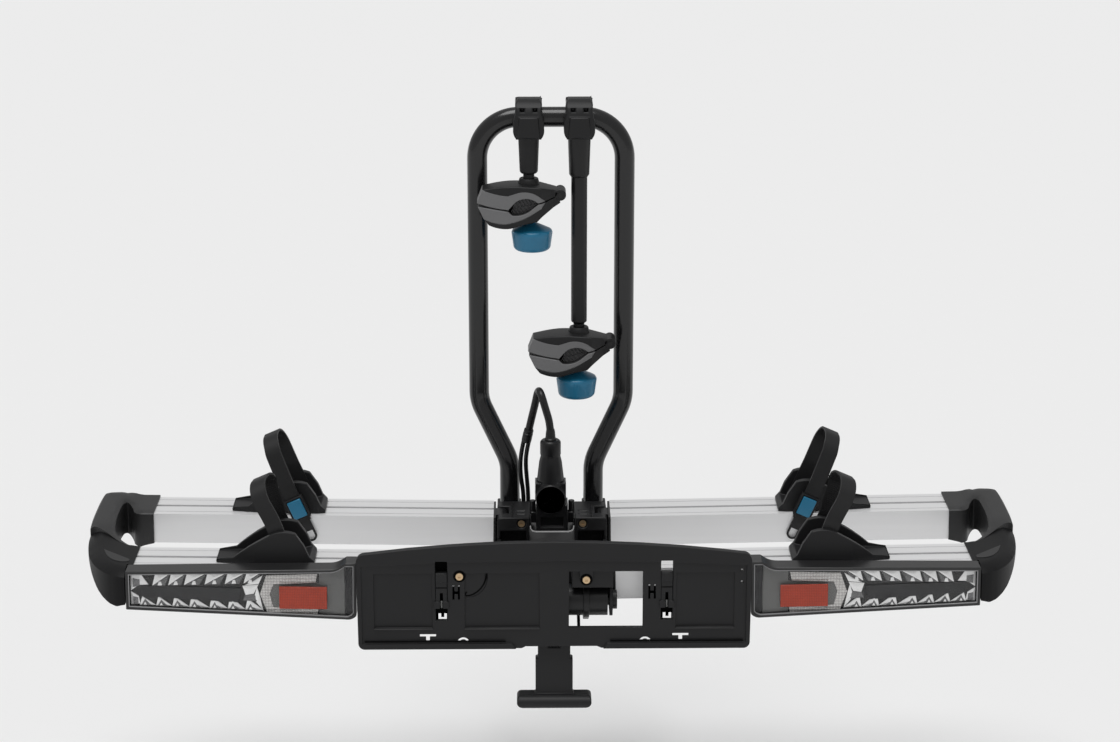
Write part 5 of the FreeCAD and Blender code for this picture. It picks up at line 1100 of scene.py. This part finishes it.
def rise_matrix():
    """Turns a piece of the right wing up about the hinge pin."""
    pin = Matrix.Translation((HINGE[0], 0, HINGE[1]))
    return pin @ Matrix.Rotation(math.radians(-WING_RISE), 4, "Y") @ pin.inverted()


def lean_matrix():
    """Leans a strap outwards about the holder's foot, then raises it with the wing."""
    foot = Matrix.Translation((HOLDER_X, 0, RAIL_TOP))
    lean = foot @ Matrix.Rotation(math.radians(STRAP_LEAN), 4, "Y") @ Matrix.Translation((0, 0, -RAIL_TOP))
    return rise_matrix() @ lean


def skewed(bm, row):
    """Leads the band towards the centre on its way over the crown, at another place in each row."""
    knots = [(STRAP_NEAR, 0), *zip((*STRAP_KNEES, STRAP_KNEES[1] + 5), STRAP_SKEWS[row])]
    for vert in bm.verts:
        lift = 1 if row == "rear" else eased((vert.co.z - RAIL_TOP - 20) / 60)
        vert.co.x -= lift * between(vert.co.y, knots)


def to_corner(bm, side, row):
    """Moves a piece made for the right rear holder to another corner of the rack."""
    if row == "front":
        bmesh.ops.translate(bm, vec=(0, -ROW_MIDDLE, 0), verts=bm.verts)
        flip(bm, 1)
        bmesh.ops.translate(bm, vec=(0, ROW_MIDDLE, 0), verts=bm.verts)
    if side == "left":
        flip(bm, 0)


def pull_loop():
    """The plate and the open loop at the strap's end, made from a section drawn round the loop."""
    bm = bmesh.new()
    y = STRAP_NEAR
    top = RAIL_TOP - LOOP_END + 4 + LOOP_OPEN
    bottom = RAIL_TOP - LOOP_END + LOOP_WIDTH / 2
    bar = (LOOP_WIDTH - LOOP_HOLE) / 2
    middle = (LOOP_WIDTH - bar) / 2
    section = [(-bar / 2, -STRAP_THICK / 2), (bar / 2, -STRAP_THICK / 2), (bar / 2, STRAP_THICK / 2),
               (-bar / 2, STRAP_THICK / 2)]
    verts = [bm.verts.new((middle + a, y + b, top)) for a, b in section]
    face = bm.faces.new(verts)

    def onward(face, step):
        ahead = grow(bm, [face], step)[0][0]
        bmesh.ops.delete(bm, geom=[face], context="FACES_ONLY")
        return ahead

    face = onward(face, (0, 0, bottom - top))
    ring = bmesh.ops.spin(bm, geom=[face, *face.edges, *face.verts], cent=(0, y, bottom), axis=(0, 1, 0),
                          dvec=(0, 0, 0), angle=math.pi, steps=14, use_merge=False, use_duplicate=False)
    last = next(part for part in ring["geom_last"] if isinstance(part, bmesh.types.BMFace))
    onward(last, (0, 0, top - bottom))
    thick = STRAP_THICK / 2 + 0.2
    block(bm, (-LOOP_WIDTH / 2, y - thick, top - 4), (LOOP_WIDTH / 2, y + thick, top + 14))
    return bm


class RACK_OT_add_straps(bpy.types.Operator):
    """Adds the ribbed strap of each wheel holder with its pull loop"""
    bl_idname = "rack.add_straps"
    bl_label = "Add the straps"

    def execute(self, context):
        sizes = context.scene.rack_sizes
        for side in SIDES:
            for row in ROWS:
                bm = strap_band(sizes.rib_pitch / MM)
                bmesh.ops.solidify(bm, geom=bm.faces[:], thickness=-STRAP_THICK)
                centre = Vector((0, REAR_RAIL, RAIL_TOP + 60))
                outer = []
                for face in bm.faces:
                    spot = face.calc_center_median()
                    if (abs(spot.x) < 1 and abs(face.normal.x) < 0.1 and face.normal.dot(spot - centre) > 0
                            and spot.y < RIBS_BACK and RIBS_UP[0] < spot.z < RIBS_UP[1]):
                        outer.append(face)
                bmesh.ops.inset_individual(bm, faces=outer, thickness=RIBS_BORDER, depth=-sizes.rib_depth / MM)
                skewed(bm, row)
                bmesh.ops.transform(bm, matrix=lean_matrix(), verts=bm.verts)
                to_corner(bm, side, row)
                body = f"{side}_{row}_holder"
                name = f"{side}_{row}_strap"
                piece(name + "_band", as_mesh(bm, name), body, "strap", name)
                bm = pull_loop()
                bmesh.ops.transform(bm, matrix=lean_matrix(), verts=bm.verts)
                to_corner(bm, side, row)
                rounded(piece(name + "_loop", as_mesh(bm, name + "_loop"), body, "strap"), 0.5 * MM)
        return {"FINISHED"}


# Stage


# In metres and degrees
FLOOR_HEIGHT = -0.38
FLOOR_SIZE = 40
VIEW_YAW = -0.76
VIEW_TILT = 73.5
VIEW_PIVOT = Vector((0.0125, -0.3, 0))
VIEW_SPOT = Vector((0.0105, -3.850, 1.387))
SUN_SPREAD = 40
SUN_TURN = (14, -6)


class RACK_OT_add_stage(bpy.types.Operator):
    """Adds the camera, the even light and the pale floor"""
    bl_idname = "rack.add_stage"
    bl_label = "Add the stage"

    def execute(self, context):
        stage = context.scene.rack_stage
        camera = bpy.data.cameras.new("Camera")
        camera.lens = stage.focal_length
        camera.sensor_width = 36
        view = bpy.data.objects.new("Camera", camera)
        context.scene.collection.objects.link(view)
        yaw = Matrix.Rotation(math.radians(VIEW_YAW), 4, "Z")
        view.location = VIEW_PIVOT + yaw @ (VIEW_SPOT - VIEW_PIVOT)
        view.rotation_euler = (math.radians(VIEW_TILT), 0, math.radians(VIEW_YAW))
        camera.clip_end = 60
        context.scene.camera = view

        world = bpy.data.worlds.new("Even light")
        world.use_nodes = True
        tree = world.node_tree
        light = tree.nodes["Background"]
        light.inputs["Color"].default_value = (1, 1, 1, 1)
        path = add_node(tree, "LightPath")
        seen = path.outputs["Is Camera Ray"]
        for kind in ("Is Glossy Ray", "Is Transmission Ray"):
            either = add_node(tree, "Math")
            either.operation = "MAXIMUM"
            tree.links.new(seen, either.inputs[0])
            tree.links.new(path.outputs[kind], either.inputs[1])
            seen = either.outputs["Value"]
        level = add_node(tree, "MapRange", {"To Min": stage.sky, "To Max": stage.backdrop})
        tree.links.new(seen, level.inputs["Value"])
        tree.links.new(level.outputs["Result"], light.inputs["Strength"])
        context.scene.world = world

        sun = bpy.data.lights.new("Overhead", "SUN")
        sun.energy = stage.sun
        sun.angle = math.radians(SUN_SPREAD)
        lamp = bpy.data.objects.new("Overhead", sun)
        lamp.rotation_euler = (*[math.radians(turn) for turn in SUN_TURN], 0)
        context.scene.collection.objects.link(lamp)

        bm = bmesh.new()
        bmesh.ops.create_grid(bm, x_segments=1, y_segments=1, size=FLOOR_SIZE)
        bmesh.ops.translate(bm, vec=(0, 0, FLOOR_HEIGHT), verts=bm.verts)
        mesh = bpy.data.meshes.new("Floor")
        bm.to_mesh(mesh)
        bm.free()
        floor = bpy.data.objects.new("Floor", mesh)
        context.scene.collection.objects.link(floor)
        tone = stage.floor_tone
        mesh.materials.append(finish("floor_paint", (tone, tone, tone), roughness=0.9, tone=0.002, depth=0,
                                     specular=0.1))
        return {"FINISHED"}


class RACK_PT_panel(bpy.types.Panel):
    """The steps that finish the rack, in order"""
    bl_label = "Bike Rack"
    bl_idname = "RACK_PT_panel"
    bl_space_type = "VIEW_3D"
    bl_region_type = "UI"
    bl_category = "Bike Rack"

    def draw(self, context):
        column = self.layout.column(align=True)
        for step in STEPS:
            column.operator(step.bl_idname)


STEPS = (RACK_OT_finish_parts, RACK_OT_add_caps, RACK_OT_add_lamps, RACK_OT_add_plate, RACK_OT_add_jaws,
         RACK_OT_add_cords, RACK_OT_add_straps, RACK_OT_add_stage)
CLASSES = (RackFinishes, RackSizes, RackStage, *STEPS, RACK_PT_panel)


def register():
    for item in CLASSES:
        bpy.utils.register_class(item)
    bpy.types.Scene.rack_finishes = bpy.props.PointerProperty(type=RackFinishes)
    bpy.types.Scene.rack_sizes = bpy.props.PointerProperty(type=RackSizes)
    bpy.types.Scene.rack_stage = bpy.props.PointerProperty(type=RackStage)


def unregister():
    del bpy.types.Scene.rack_stage
    del bpy.types.Scene.rack_sizes
    del bpy.types.Scene.rack_finishes
    for item in reversed(CLASSES):
        bpy.utils.unregister_class(item)


def main():
    register()
    bpy.context.scene.view_settings.view_transform = "Standard"
    bpy.ops.rack.finish_parts()
    bpy.ops.rack.add_caps()
    bpy.ops.rack.add_lamps()
    bpy.ops.rack.add_plate()
    bpy.ops.rack.add_jaws()
    bpy.ops.rack.add_cords()
    bpy.ops.rack.add_straps()
    bpy.ops.rack.add_stage()
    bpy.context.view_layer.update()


if __name__ == "__main__":
    main()
